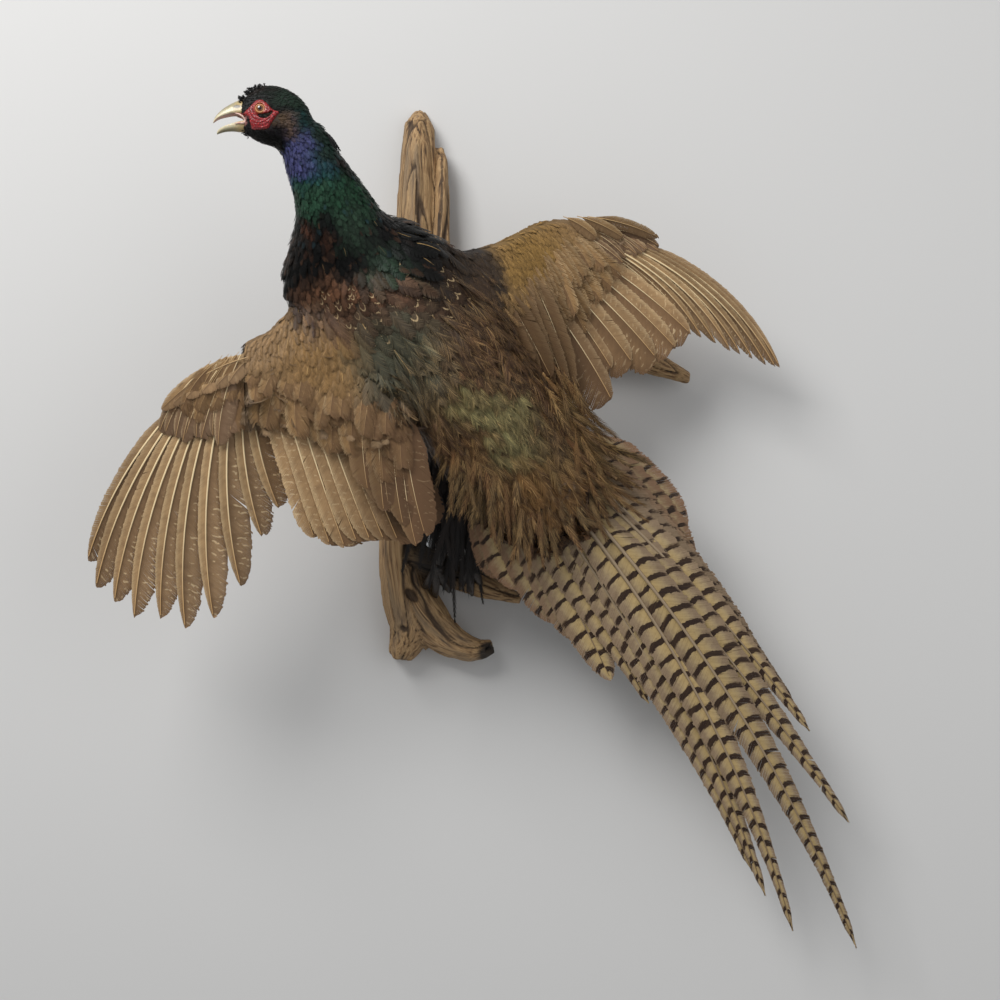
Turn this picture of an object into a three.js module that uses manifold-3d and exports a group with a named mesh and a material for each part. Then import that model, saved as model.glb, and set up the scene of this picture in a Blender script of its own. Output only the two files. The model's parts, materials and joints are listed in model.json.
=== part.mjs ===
// A taxidermy ring-necked pheasant cock of the dark form, wings spread as in flight, seen from its
// back and hung on a wall by a piece of driftwood. Millimetres, +Z up, +X to the viewer's right.
// The wall is the plane Y = 0 and the room is at -Y, so a place is written [x, off, z], where off is
// the distance off the wall. The origin is the middle of the driftwood's flat back.
// Left and right are the bird's own: its left wing is at the viewer's left.

import * as THREE from 'three';
import { mergeVertices } from 'three/addons/utils/BufferGeometryUtils.js';
import Module from 'manifold-3d';

const wasm = await Module();
wasm.setup();

// ---- driving dimensions -----------------------------------------------------------------------

const GAP = 0.3; // clearance between neighbouring solids
const FEATHER_THICK = 0.7; // wing feathers
const TAIL_THICK = 0.6;

// Centreline of neck and trunk from the throat to the root of the tail.
// across is the half width seen from the room, deep the half thickness towards the wall.
const BODY = [
  { place: [-88, 238, 183], across: 20, deep: 17 },
  { place: [-81, 233, 163], across: 24, deep: 20 },
  { place: [-72, 225, 144], across: 28, deep: 23 },
  { place: [-64, 212, 125], across: 35, deep: 28 },
  { place: [-59, 197, 106], across: 45, deep: 36 },
  { place: [-50, 179, 88], across: 57, deep: 46 },
  { place: [-24, 163, 68], across: 61, deep: 55 },
  { place: [10, 150, 35], across: 56, deep: 60 },
  { place: [42, 142, -9], across: 57, deep: 57 },
  { place: [71, 136, -54], across: 59, deep: 49 },
  { place: [95, 129, -88], across: 57, deep: 38 },
  { place: [114, 122, -118], across: 43, deep: 25 },
  { place: [127, 117, -142], across: 22, deep: 13 },
];
const NECK_MIDDLE = 0.26; // where thin cuts part the body, as shares of its centreline
const NECK_ROOT = 0.42;

const HEAD_OFF = 240; // the head's middle plane, which is parallel to the wall
const HEAD = [
  { x: -136, z: 192.5, high: 11, deep: 8 },
  { x: -130.5, z: 193, high: 17.5, deep: 11.5 },
  { x: -121.5, z: 193.5, high: 24, deep: 15.5 },
  { x: -110.5, z: 192.5, high: 26, deep: 18 },
  { x: -98.5, z: 190.5, high: 25, deep: 19 },
  { x: -88, z: 188, high: 21.5, deep: 17.5 },
  { x: -79, z: 184, high: 15, deep: 13 },
];
const EYE = { x: -117.0, z: 194.8, off: 9.9, radius: 6.5 };

const BILL_UPPER = [
  { x: -131, top: 206, bottom: 191, deep: 7 },
  { x: -134.5, top: 204.5, bottom: 192.5, deep: 6.6 },
  { x: -141, top: 203, bottom: 194, deep: 5.6 },
  { x: -148, top: 199.5, bottom: 193, deep: 4.2 },
  { x: -153, top: 195.8, bottom: 190.6, deep: 2.8 },
  { x: -156.5, top: 189.2, bottom: 187.2, deep: 0.9 },
];
const BILL_LOWER = [
  { x: -130, top: 188.5, bottom: 179, deep: 6.4 },
  { x: -134, top: 188, bottom: 179, deep: 6 },
  { x: -141, top: 185.6, bottom: 180.2, deep: 4.9 },
  { x: -148, top: 183.6, bottom: 179, deep: 3.4 },
  { x: -153.5, top: 180.3, bottom: 178.4, deep: 1.1 },
];

// A wing: the coverts and bones as stations from the body to the hand, each with the place of its
// leading and trailing edge, then two fans of flight feathers. A fan's feathers grow on a straight
// line from one place to another; reach is a feather's length seen from the room, and lean its
// angle from straight down, both from the wrist outwards (primaries) or inwards (secondaries).
const WINGS = {
  left: {
    arm: [
      { lead: [-12, 170, 80], trail: [2, 176, -58], thick: 18 },
      { lead: [-60, 181, 62], trail: [-20, 181, -64], thick: 18 },
      { lead: [-97, 188, 42], trail: [-60, 186, -62], thick: 17 },
      { lead: [-124, 194, 27], trail: [-98, 188, -57], thick: 16 },
      { lead: [-164, 199, 6], trail: [-146, 192, -53], thick: 14 },
      { lead: [-187, 201, -16], trail: [-170, 193, -56], thick: 12 },
    ],
    primaries: {
      from: [-134, 192, 3], to: [-183, 197, -25], lean: [8.4, -33],
      reach: [125, 145, 183, 208, 216, 208, 209, 197, 187, 165], tipOff: [160, 178],
      width: 26, outer: 0.25, lift: 0.15, bow: 0.06, outward: 1,
    },
    secondaries: {
      from: [-123, 195, 5], to: [-56, 180, 8], lean: [19.6, 29],
      reach: [163, 163, 172, 171, 172, 174, 177, 175, 170], tipOff: [168, 153],
      width: 35, outer: 0.4, lift: 0.15, bow: 0.01, outward: -1,
    },
  },
  right: {
    arm: [
      { lead: [16, 160, 104], trail: [48, 152, 28], thick: 17 },
      { lead: [46, 152, 102], trail: [74, 150, 22], thick: 17 },
      { lead: [69, 140, 112], trail: [104, 136, 28], thick: 15 },
      { lead: [91, 126, 125], trail: [126, 116, 59], thick: 13 },
      { lead: [113, 113, 137], trail: [145, 104, 74], thick: 11 },
      { lead: [144, 106, 136], trail: [166, 98, 96], thick: 10 },
      { lead: [172, 101, 131], trail: [186, 95, 107], thick: 10 },
    ],
    primaries: {
      from: [112, 105, 127], to: [174, 97, 121], lean: [55, 53.5],
      reach: [156, 154, 158, 166, 174, 177, 183, 190, 193, 190], tipOff: [70, 62],
      width: 15, outer: 0.3, lift: 0.32, bow: 0.1, outward: 1,
    },
    secondaries: {
      from: [108, 110, 125], to: [66, 132, 88], lean: [48, 29],
      reach: [154, 154, 147, 135, 130, 154, 133, 115], tipOff: [76, 108],
      width: 31, outer: 0.4, lift: 0.15, bow: 0.03, outward: -1,
    },
  },
};

// Tail feathers from the middle pair outwards. lean and reach are as on the wings, and a positive
// bow curves a feather away from the middle of the tail. droop is its slope towards the wall.
const TAIL = {
  middle: [100, 120, -75], // where the middle pair grows
  halfRow: [42, 0, 26], // from there to the outermost root on the right
  level: 0.95, // how much nearer the wall each feather lies than the one before it
  left: {
    lean: [29.3, 29.2, 30, 30, 26.4, 24.6, 22.1, 16.2, 10],
    reach: [493, 452, 427, 244, 208, 165, 138, 102, 84],
    bow: [-0.055, -0.045, -0.03, 0, 0, 0, 0.03, 0.07, 0.05],
  },
  right: {
    lean: [33.3, 40, 43.3, 43.4, 41.8, 41.3, 40.5, 42.5, 47],
    reach: [538, 438, 350, 322, 286, 238, 196, 164, 134],
    bow: [0.05, 0.025, 0.03, 0.03, 0.03, 0.03, 0.03, 0.04, 0.04],
  },
  width: 38,
  droop: 0.12,
};

const THIGHS = {
  left: [[30, 118, -42], [22, 96, -78], [33, 82, -112]],
  right: [[74, 112, -50], [76, 92, -88], [66, 78, -124]],
};
const THIGH_RADIUS = [24, 19, 9];
const SHANKS = {
  left: [[33, 82, -112], [25, 66, -146], [16, 55, -172]],
  right: [[66, 78, -124], [56, 66, -148], [45, 55, -169]],
};
const SHANK_RADIUS = [6, 4.2, 4.8];
const TOE = { radius: [4.4, 3.8, 3.2, 1.2], length: [26, 30, 25, 12] };
const FEET = {
  left: { ball: [15, 52, -176], leans: [-34, -6, 22, 165], wrap: 32 },
  right: { ball: [44, 52, -172], leans: [-20, 4, 27, 175], wrap: 28 },
};

// Driftwood members: each a run of sections in the plane of the wall, with its half width, the
// distance of its back from the wall and its thickness. A member with back 0 is sawn flat there.
const WOOD = {
  stem: [
    { x: -2, z: 254, half: 5, back: 0, thick: 14 },
    { x: -4, z: 238, half: 15, back: 0, thick: 28 },
    { x: -5, z: 205, half: 17, back: 0, thick: 36 },
    { x: -6, z: 150, half: 21, back: 0, thick: 42 },
    { x: -7, z: 70, half: 24, back: 0, thick: 46 },
    { x: -9, z: 0, half: 26, back: 0, thick: 48 },
    { x: -15, z: -90, half: 25, back: 0, thick: 48 },
    { x: -21, z: -150, half: 22, back: 0, thick: 46 },
    { x: -16, z: -195, half: 25, back: 0, thick: 45 },
    { x: -12, z: -235, half: 21, back: 0, thick: 42 },
    { x: -22, z: -262, half: 11, back: 0, thick: 30 },
  ],
  splinter: [
    { x: 17, z: 219, half: 3.5, back: 8, thick: 10 },
    { x: 18, z: 196, half: 6, back: 6, thick: 22 },
    { x: 17, z: 140, half: 10, back: 4, thick: 30 },
    { x: 12, z: 80, half: 12, back: 0, thick: 36 },
  ],
  hook: [
    { x: -16, z: -190, half: 20, back: 0, thick: 42 },
    { x: 0, z: -222, half: 22, back: 0, thick: 44 },
    { x: 24, z: -245, half: 17, back: 2, thick: 40 },
    { x: 48, z: -254, half: 12, back: 6, thick: 30 },
    { x: 66, z: -250, half: 7, back: 10, thick: 18 },
  ],
  sideLimb: [
    { x: -14, z: -168, half: 18, back: 4, thick: 36 },
    { x: 16, z: -178, half: 13, back: 8, thick: 34 },
    { x: 46, z: -189, half: 14, back: 10, thick: 30 },
    { x: 66, z: -197, half: 10, back: 14, thick: 24 },
    { x: 92, z: -206, half: 5, back: 16, thick: 14 },
  ],
  rearLimb: [
    { x: 0, z: 92, half: 15, back: 4, thick: 34 },
    { x: 70, z: 70, half: 17, back: 8, thick: 32 },
    { x: 150, z: 44, half: 16, back: 10, thick: 28 },
    { x: 214, z: 16, half: 12, back: 10, thick: 22 },
    { x: 250, z: 0, half: 5, back: 12, thick: 12 },
  ],
};

// ---- materials --------------------------------------------------------------------------------

const finish = (color, roughness, metalness = 0) =>
  new THREE.MeshStandardMaterial({ color, roughness, metalness });
const FINISHES = {
  headPlumage: () => finish(0x16302c, 0.5),
  neckPlumage: () => finish(0x14181c, 0.55),
  backPlumage: () => finish(0x4a3a22, 0.65),
  wingCoverts: () => finish(0x6e5430, 0.7),
  flightFeathers: () => finish(0x9a7a52, 0.65),
  tailFeathers: () => finish(0x9c8458, 0.65),
  thighPlumage: () => finish(0x2a2018, 0.75),
  legScales: () => finish(0x8a7660, 0.5),
  bill: () => finish(0xd9cfae, 0.35),
  eye: () => finish(0x6a3512, 0.08),
  driftwood: () => finish(0x86643f, 0.85),
};

// ---- solids -----------------------------------------------------------------------------------

const at = ([x, off, z]) => new THREE.Vector3(x, -off, z);
const OUT = new THREE.Vector3(0, -1, 0);

/** A closed solid through rings of equal count, with a flat fan over each end. */
function solidFromRings(rings) {
  const count = rings[0].length;
  const points = rings.flat();
  const faces = [];
  const last = (rings.length - 1) * count;
  for (let ring = 0; ring < rings.length - 1; ring += 1) {
    for (let side = 0; side < count; side += 1) {
      const a = ring * count + side;
      const b = ring * count + ((side + 1) % count);
      faces.push(a, b, b + count, a, b + count, a + count);
    }
  }
  for (const [base, turned] of [[0, true], [last, false]]) {
    const middle = new THREE.Vector3();
    for (let side = 0; side < count; side += 1) middle.add(points[base + side]);
    points.push(middle.divideScalar(count));
    for (let side = 0; side < count; side += 1) {
      const edge = [base + side, base + ((side + 1) % count)];
      if (turned) edge.reverse();
      faces.push(edge[0], edge[1], points.length - 1);
    }
  }
  return solidFromFaces(points, faces);
}

/** A Manifold solid of these faces, turned inside out where their volume comes out negative. */
function solidFromFaces(points, faces) {
  let volume = 0;
  for (let i = 0; i < faces.length; i += 3) {
    const [a, b, c] = [0, 1, 2].map((k) => points[faces[i + k]]);
    volume += a.dot(new THREE.Vector3().crossVectors(b, c));
  }
  const triVerts = Uint32Array.from(faces);
  if (volume < 0) triVerts.reverse();
  const vertProperties = Float32Array.from(points.flatMap((point) => point.toArray()));
  return new wasm.Manifold(new wasm.Mesh({ numProp: 3, vertProperties, triVerts }));
}

const solidFromGeometry = (geometry) => {
  const bare = geometry.clone();
  bare.deleteAttribute('normal');
  bare.deleteAttribute('uv');
  const merged = mergeVertices(bare, 1e-4);
  const position = merged.attributes.position;
  const points = Array.from({ length: position.count }, (_, i) =>
    new THREE.Vector3().fromBufferAttribute(position, i));
  return solidFromFaces(points, Array.from(merged.index.array));
};

const joined = (solids) => solids.reduce((sum, solid) => sum.add(solid));

/** The largest single body of a solid, without the crumbs that a cut may leave. */
function largestBody(solid) {
  const bodies = solid.decompose();
  return bodies.reduce((best, body) => (body.volume() > best.volume() ? body : best));
}

function meshOf(name, solid, material) {
  const { vertProperties, triVerts } = largestBody(solid).getMesh();
  const geometry = new THREE.BufferGeometry();
  geometry.setAttribute('position', new THREE.BufferAttribute(vertProperties, 3));
  geometry.setIndex(new THREE.BufferAttribute(triVerts, 1));
  geometry.computeVertexNormals();
  const mesh = new THREE.Mesh(geometry, material);
  mesh.name = name;
  return mesh;
}

/** A smooth reading of one number listed at even steps, at a share from 0 to 1. */
function reading(values, share) {
  const curve = new THREE.CatmullRomCurve3(values.map((value, i) => new THREE.Vector3(i, value, 0)));
  return curve.getPoint(THREE.MathUtils.clamp(share, 0, 1)).y;
}

/** Oval rings along a smooth line between two shares of it, each ring square to the line. */
function ovalRings(places, across, deep, { from = 0, to = 1, steps, sides, grow = 0 }) {
  const line = new THREE.CatmullRomCurve3(places.map(at));
  return Array.from({ length: steps + 1 }, (_, step) => {
    const share = from + ((to - from) * step) / steps;
    const middle = line.getPoint(share);
    const along = line.getTangent(share);
    const side = new THREE.Vector3().crossVectors(along, OUT).normalize();
    const up = new THREE.Vector3().crossVectors(side, along).normalize();
    return Array.from({ length: sides }, (_, k) => {
      const angle = (k / sides) * Math.PI * 2;
      return middle.clone()
        .addScaledVector(side, Math.cos(angle) * (reading(across, share) + grow))
        .addScaledVector(up, Math.sin(angle) * (reading(deep, share) + grow));
    });
  });
}

// ---- body -------------------------------------------------------------------------------------

function bodyLength({ from, to, steps, sides = 18, grow = 0 }) {
  const rings = ovalRings(
    BODY.map((station) => station.place),
    BODY.map((station) => station.across),
    BODY.map((station) => station.deep),
    { from, to, steps, sides, grow },
  );
  return solidFromRings(rings);
}

/** The head: upright oval rings from the bill's root to the nape, rounded off at both ends. */
function headSolid(grow = 0) {
  const steps = 10;
  const sides = 14;
  const rings = Array.from({ length: steps + 1 }, (_, step) => {
    const share = step / steps;
    const x = reading(HEAD.map((station) => station.x), share);
    const z = reading(HEAD.map((station) => station.z), share);
    const high = reading(HEAD.map((station) => station.high), share) + grow;
    const deep = reading(HEAD.map((station) => station.deep), share) + grow;
    return Array.from({ length: sides }, (_, k) => {
      const angle = (k / sides) * Math.PI * 2;
      return at([x, HEAD_OFF + Math.cos(angle) * deep, z + Math.sin(angle) * high]);
    });
  });
  return solidFromRings(rings);
}

/** A half bill: oval rings between its upper and lower edge, with a sharp ridge on top. */
function billSolid(stations) {
  const sides = 8;
  const rings = stations.map(({ x, top, bottom, deep }) =>
    Array.from({ length: sides }, (_, k) => {
      const angle = (k / sides) * Math.PI * 2;
      const share = (1 + Math.sin(angle)) / 2;
      return at([x, HEAD_OFF + Math.cos(angle) * deep, bottom + (top - bottom) * share]);
    }));
  return solidFromRings(rings);
}

function eyeSolid(side, grow = 0) {
  const ball = new THREE.SphereGeometry(EYE.radius + grow, 9, 6);
  ball.translate(EYE.x, -(HEAD_OFF + side * EYE.off), EYE.z);
  return solidFromGeometry(ball);
}

// ---- feathers ---------------------------------------------------------------------------------

/** Share of a flight feather's full width at a share of its length: narrow root, blunt tip. */
function flightOutline(share) {
  const root = THREE.MathUtils.smoothstep(share, 0, 0.4);
  const tip = 1 - 0.6 * (Math.max(share - 0.88, 0) / 0.12) ** 2;
  return Math.max(root * tip, 0.1);
}

/** Share of a tail feather's full width: full near the root, then a long taper to a fine point. */
function tailOutline(share) {
  const root = THREE.MathUtils.smoothstep(share, 0, 0.24);
  const taper = 1 - 0.86 * THREE.MathUtils.smoothstep(share, 0.3, 1.04);
  return Math.max(root * taper, 0.08);
}

/** The directions about a feather: chord along it, side towards its outer vane, up off its face. */
function featherAxes({ root, tip, outward }) {
  const chord = tip.clone().sub(root);
  const up = new THREE.Vector3().crossVectors(outward, chord).normalize();
  if (up.dot(OUT) < 0) up.negate();
  const side = new THREE.Vector3().crossVectors(chord, up).normalize();
  if (side.dot(outward) < 0) side.negate();
  return { chord, side, up };
}

/** A point of the shaft, which bows sideways and arches off the wall between root and tip. */
function shaftPoint(feather, { chord, side, up }, share) {
  const swell = 4 * share * (1 - share) * chord.length();
  return feather.root.clone().addScaledVector(chord, share)
    .addScaledVector(side, feather.bow * swell)
    .addScaledVector(up, feather.arch * swell);
}

/** A feather as a thin blade about its shaft, whose outer vane is lifted by the given slope. */
function bladeSolid(feather, { width, outer, lift, thick, outline, shares }) {
  const axes = featherAxes(feather);
  const flat = axes.side.clone().addScaledVector(axes.up, lift).normalize();
  const high = axes.up.clone().addScaledVector(axes.side, -lift).normalize();
  const rings = shares.map((share) => {
    const middle = shaftPoint(feather, axes, share);
    const reach = width * outline(share);
    return [[outer - 1, -1], [outer, -1], [outer, 1], [outer - 1, 1]].map(([edge, face]) =>
      middle.clone().addScaledVector(flat, edge * reach).addScaledVector(high, (face * thick) / 2));
  });
  return solidFromRings(rings);
}

/** The feathers of a wing fan: the root, tip and lie of each one. */
function fanFeathers({ from, to, lean, reach, tipOff, bow, outward }) {
  const ends = reach.map((length, i) => {
    const share = i / (reach.length - 1);
    const root = at(from).lerp(at(to), share);
    const angle = THREE.MathUtils.degToRad(THREE.MathUtils.lerp(lean[0], lean[1], share));
    const off = THREE.MathUtils.lerp(tipOff[0], tipOff[1], share);
    const tip = at([root.x + Math.sin(angle) * length, off, root.z - Math.cos(angle) * length]);
    return { root, tip };
  });
  const middles = ends.map(({ root, tip }) => root.clone().lerp(tip, 0.5));
  return ends.map(({ root, tip }, i) => {
    const before = middles[Math.max(i - 1, 0)];
    const after = middles[Math.min(i + 1, middles.length - 1)];
    const aside = after.clone().sub(before).multiplyScalar(outward);
    return { root, tip, outward: aside, bow, arch: WING_ARCH };
  });
}

const WING_ARCH = 0.025;
const WING_SHARES = [0, 0.25, 0.6, 0.92, 1];

/** A fan of overlapping flight feathers as one solid, held together by a bar along their roots. */
function fanSolid(spec) {
  const feathers = fanFeathers(spec);
  const blades = feathers.map((feather) => bladeSolid(feather, {
    width: spec.width, outer: spec.outer, lift: spec.lift, thick: FEATHER_THICK,
    outline: flightOutline, shares: WING_SHARES,
  }));
  return joined([...blades, rootBar(feathers[0].root, feathers[feathers.length - 1].root, 1.2)]);
}

/** A thin bar from the root of one feather to another's. */
function rootBar(first, last, radius) {
  const sides = 4;
  const along = last.clone().sub(first).normalize();
  const side = new THREE.Vector3().crossVectors(along, OUT).normalize();
  const up = new THREE.Vector3().crossVectors(side, along);
  const rings = [[first, -0.5], [last, 0.5]].map(([end, past]) =>
    Array.from({ length: sides }, (_, corner) => {
      const angle = (corner / sides) * Math.PI * 2;
      return end.clone().addScaledVector(along, past)
        .addScaledVector(side, Math.cos(angle) * radius)
        .addScaledVector(up, Math.sin(angle) * radius);
    }));
  return solidFromRings(rings);
}

/** The slot that a fan's roots sit in: a slab about its feathers, from behind the roots outwards. */
function fanSlot(spec) {
  const half = 1.5 + spec.lift * spec.width * (1 - spec.outer);
  const shares = [-0.06, ...WING_SHARES.slice(1, 4)];
  const feathers = fanFeathers(spec);
  const last = feathers.length - 1;
  const ends = [spec.width * (spec.outer - 1) - 1, spec.width * spec.outer + 1];
  if (spec.outward < 0) ends.reverse();
  const rings = feathers.flatMap((feather, i) => {
    const axes = featherAxes(feather);
    const ring = (aside) => {
      const faces = [1, -1].map((face) => shares.map((share) => shaftPoint(feather, axes, share)
        .addScaledVector(axes.side, aside).addScaledVector(axes.up, face * half)));
      return [...faces[0], ...faces[1].reverse()];
    };
    if (i === 0) return [ring(ends[0]), ring(0)];
    return i === last ? [ring(0), ring(ends[1])] : [ring(0)];
  });
  return solidFromRings(rings);
}

/** The feathered arm of a wing: drop-shaped rings, blunt in front and thin behind. */
function armSolid(stations, grow = 0) {
  const sides = 10;
  const steps = 7;
  const part = (key, index, share) => reading(stations.map((s) => s[key][index]), share);
  const rings = Array.from({ length: steps + 1 }, (_, step) => {
    const share = step / steps;
    const lead = at([0, 1, 2].map((index) => part('lead', index, share)));
    const trail = at([0, 1, 2].map((index) => part('trail', index, share)));
    const thick = reading(stations.map((s) => s.thick), share) + grow;
    const middle = lead.clone().lerp(trail, 0.5);
    const half = lead.clone().sub(middle);
    half.setLength(half.length() + grow);
    return Array.from({ length: sides }, (_, k) => {
      const angle = (k / sides) * Math.PI * 2;
      const body = 0.7 + 0.3 * Math.cos(angle);
      return middle.clone().addScaledVector(half, Math.cos(angle))
        .addScaledVector(OUT, Math.sin(angle) * body * thick);
    });
  });
  return solidFromRings(rings);
}

// ---- tail -------------------------------------------------------------------------------------

const TAIL_SHARES = [0, 0.15, 0.4, 0.65, 0.86, 1];
const MIDDLE_LIFT = 2; // the middle pair lies this much higher over the others
const PAIRS = TAIL.left.lean.length;

/** One tail feather. Pair 0 is the middle pair; side is -1 for the left and 1 for the right. */
function tailFeather(side, pair) {
  const { lean, reach, bow } = side < 0 ? TAIL.left : TAIL.right;
  const outward = at(TAIL.halfRow).multiplyScalar(side);
  const depth = (2 * pair + (side < 0 ? 1 : 0)) * TAIL.level - (pair === 0 ? MIDDLE_LIFT : 0);
  const root = at(TAIL.middle).addScaledVector(outward, (pair + 0.5) / PAIRS)
    .addScaledVector(OUT, -depth);
  const angle = THREE.MathUtils.degToRad(lean[pair]);
  const tip = at([Math.sin(angle), -TAIL.droop, -Math.cos(angle)]).multiplyScalar(reach[pair])
    .add(root);
  const aside = new THREE.Vector3().crossVectors(tip.clone().sub(root), OUT);
  if (aside.dot(outward) < 0) aside.negate();
  return { root, tip, outward: aside, bow: bow[pair], arch: 0.02 };
}

const tailBlade = (feather) => bladeSolid(feather, {
  width: TAIL.width, outer: 0.5, lift: 0, thick: TAIL_THICK, outline: tailOutline,
  shares: TAIL_SHARES,
});

/** All tail feathers but the middle pair, with bars along both rows of roots to hold them. */
function tailFan() {
  const feathers = [-1, 1].map((side) =>
    Array.from({ length: PAIRS - 1 }, (_, i) => tailFeather(side, i + 1)));
  const [left, right] = feathers.map((row) => row.map(({ root }) => root));
  const bars = [[left.at(-1), left[0]], [left[0], right[0]], [right[0], right.at(-1)]];
  return joined([...feathers.flat().map(tailBlade), ...bars.map(([a, b]) => rootBar(a, b, 0.8))]);
}

// ---- legs and feet ----------------------------------------------------------------------------

const legSolid = (places, radii, sides, steps, grow = 0) =>
  solidFromRings(ovalRings(places, radii, radii, { steps, sides, grow }));

/** A toe from the ball of the foot: out along the wood and then down over its edge. */
function toeSolid(ball, lean, length, wrap) {
  const angle = THREE.MathUtils.degToRad(lean);
  const step = ([x, off, z], share, drop) =>
    [x + Math.sin(angle) * length * share, off - drop, z - Math.cos(angle) * length * share];
  const places = [ball, step(ball, 0.4, 1), step(ball, 0.75, wrap * 0.3), step(ball, 1, wrap)];
  return legSolid(places, TOE.radius, 5, 3);
}

function footSolid({ ball, leans, wrap }) {
  const palm = new THREE.SphereGeometry(6.5, 7, 4);
  palm.translate(...at(ball).toArray());
  const toes = leans.map((lean, i) => toeSolid(ball, lean, TOE.length[i], wrap));
  return joined([solidFromGeometry(palm), ...toes]);
}

// ---- driftwood --------------------------------------------------------------------------------

/** One driftwood member with shallow grooves along its grain; its back stays flat. */
function woodMember(stations, { steps = 8, sides = 12, grow = 0 }) {
  const line = new THREE.CatmullRomCurve3(stations.map(({ x, z }) => new THREE.Vector3(x, 0, z)));
  const rings = Array.from({ length: steps + 1 }, (_, step) => {
    const share = step / steps;
    const middle = line.getPoint(share);
    const side = new THREE.Vector3().crossVectors(line.getTangent(share), OUT).normalize();
    const half = reading(stations.map((s) => s.half), share) + grow;
    const back = Math.max(reading(stations.map((s) => s.back), share) - grow, 0);
    const thick = reading(stations.map((s) => s.thick), share) + 2 * grow;
    const flat = stations.every((station) => station.back === 0);
    return Array.from({ length: sides }, (_, k) => {
      const angle = (k / sides) * Math.PI * 2;
      const groove = 1 + 0.05 * Math.sin(5 * angle + 2 * share) + 0.03 * Math.sin(9 * share);
      const rise = flat ? Math.max(Math.sin(angle), 0) : (1 + Math.sin(angle)) / 2;
      return middle.clone().addScaledVector(side, Math.cos(angle) * half * groove)
        .addScaledVector(OUT, back + rise * thick * (rise > 0.3 ? groove : 1));
    });
  });
  return solidFromRings(rings);
}

const woodSolid = (grow = 0) => joined([
  woodMember(WOOD.stem, { steps: 12, grow }),
  woodMember(WOOD.splinter, { steps: 4, sides: 8, grow }),
  woodMember(WOOD.hook, { steps: 7, sides: 10, grow }),
  woodMember(WOOD.sideLimb, { steps: 5, sides: 9, grow }),
  woodMember(WOOD.rearLimb, { steps: 5, sides: 9, grow }),
]);

// ---- assembly ---------------------------------------------------------------------------------

const SIDES = ['left', 'right'];
const HALF_GAP = GAP / 2 / 430; // as a share of the body's centreline

/** The slot in the rump that holds the roots of the tail feathers. */
function tailSlot() {
  const stack = 2 * PAIRS * TAIL.level;
  const along = at([1, -0.22, -1.35]).normalize();
  const side = at(TAIL.halfRow).normalize();
  const up = new THREE.Vector3().crossVectors(along, side).normalize();
  if (up.dot(OUT) < 0) up.negate();
  const ends = [{ distance: -4, half: 54, top: 5 }, { distance: 140, half: 130, top: 11 }];
  const rings = ends.map(({ distance, half, top }) =>
    [[-1, top], [1, top], [1, -stack - 3], [-1, -stack - 3]].map(([across, high]) =>
      at(TAIL.middle).addScaledVector(along, distance)
        .addScaledVector(side, across * half).addScaledVector(up, high)));
  return solidFromRings(rings);
}

const bird = new THREE.Group();
bird.name = 'pheasant';
const put = (name, solid, material) => bird.add(meshOf(name, solid, material()));

const headRoom = headSolid(GAP);
const trunkShape = { from: NECK_ROOT + HALF_GAP, to: 1, steps: 12 };
const trunkRoom = bodyLength({ ...trunkShape, from: NECK_ROOT, grow: GAP });
const neckRoom = bodyLength({ from: 0, to: NECK_ROOT, steps: 12, grow: GAP });

put('head', headSolid().subtract(eyeSolid(1, GAP)).subtract(eyeSolid(-1, GAP)), FINISHES.headPlumage);
put('eye_left', eyeSolid(1), FINISHES.eye);
put('eye_right', eyeSolid(-1), FINISHES.eye);
put('bill_upper', billSolid(BILL_UPPER).subtract(headRoom), FINISHES.bill);
put('bill_lower', billSolid(BILL_LOWER).subtract(headRoom), FINISHES.bill);
put('neck_upper', bodyLength({ from: 0, to: NECK_MIDDLE - HALF_GAP, steps: 6 }).subtract(headRoom),
  FINISHES.neckPlumage);
put('neck_lower', bodyLength({ from: NECK_MIDDLE + HALF_GAP, to: NECK_ROOT - HALF_GAP, steps: 4 }),
  FINISHES.neckPlumage);
put('trunk', bodyLength(trunkShape).subtract(tailSlot()), FINISHES.backPlumage);

for (const side of SIDES) {
  const { arm, primaries, secondaries } = WINGS[side];
  const outer = fanSolid(primaries);
  const inner = fanSolid(secondaries).subtract(trunkRoom);
  const rooms = [trunkRoom, neckRoom, fanSlot(primaries), fanSlot(secondaries)];
  put(`wing_${side}_arm`, rooms.reduce((piece, room) => piece.subtract(room), armSolid(arm)),
    FINISHES.wingCoverts);
  put(`wing_${side}_primaries`, outer, FINISHES.flightFeathers);
  put(`wing_${side}_secondaries`, inner, FINISHES.flightFeathers);
}

put('tail_fan', tailFan(), FINISHES.tailFeathers);
put('tail_middle_left', tailBlade(tailFeather(-1, 0)), FINISHES.tailFeathers);
put('tail_middle_right', tailBlade(tailFeather(1, 0)), FINISHES.tailFeathers);

const woodRoom = woodSolid(GAP);
for (const side of SIDES) {
  const thighRoom = legSolid(THIGHS[side], THIGH_RADIUS, 12, 5, GAP);
  const shankRoom = legSolid(SHANKS[side], SHANK_RADIUS, 10, 4, GAP);
  put(`thigh_${side}`, legSolid(THIGHS[side], THIGH_RADIUS, 12, 5).subtract(trunkRoom),
    FINISHES.thighPlumage);
  put(`shank_${side}`, legSolid(SHANKS[side], SHANK_RADIUS, 10, 4).subtract(thighRoom)
    .subtract(woodRoom), FINISHES.legScales);
  put(`foot_${side}`, footSolid(FEET[side]).subtract(shankRoom).subtract(woodRoom),
    FINISHES.legScales);
}
put('driftwood', woodSolid(), FINISHES.driftwood);

export default bird;
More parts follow.
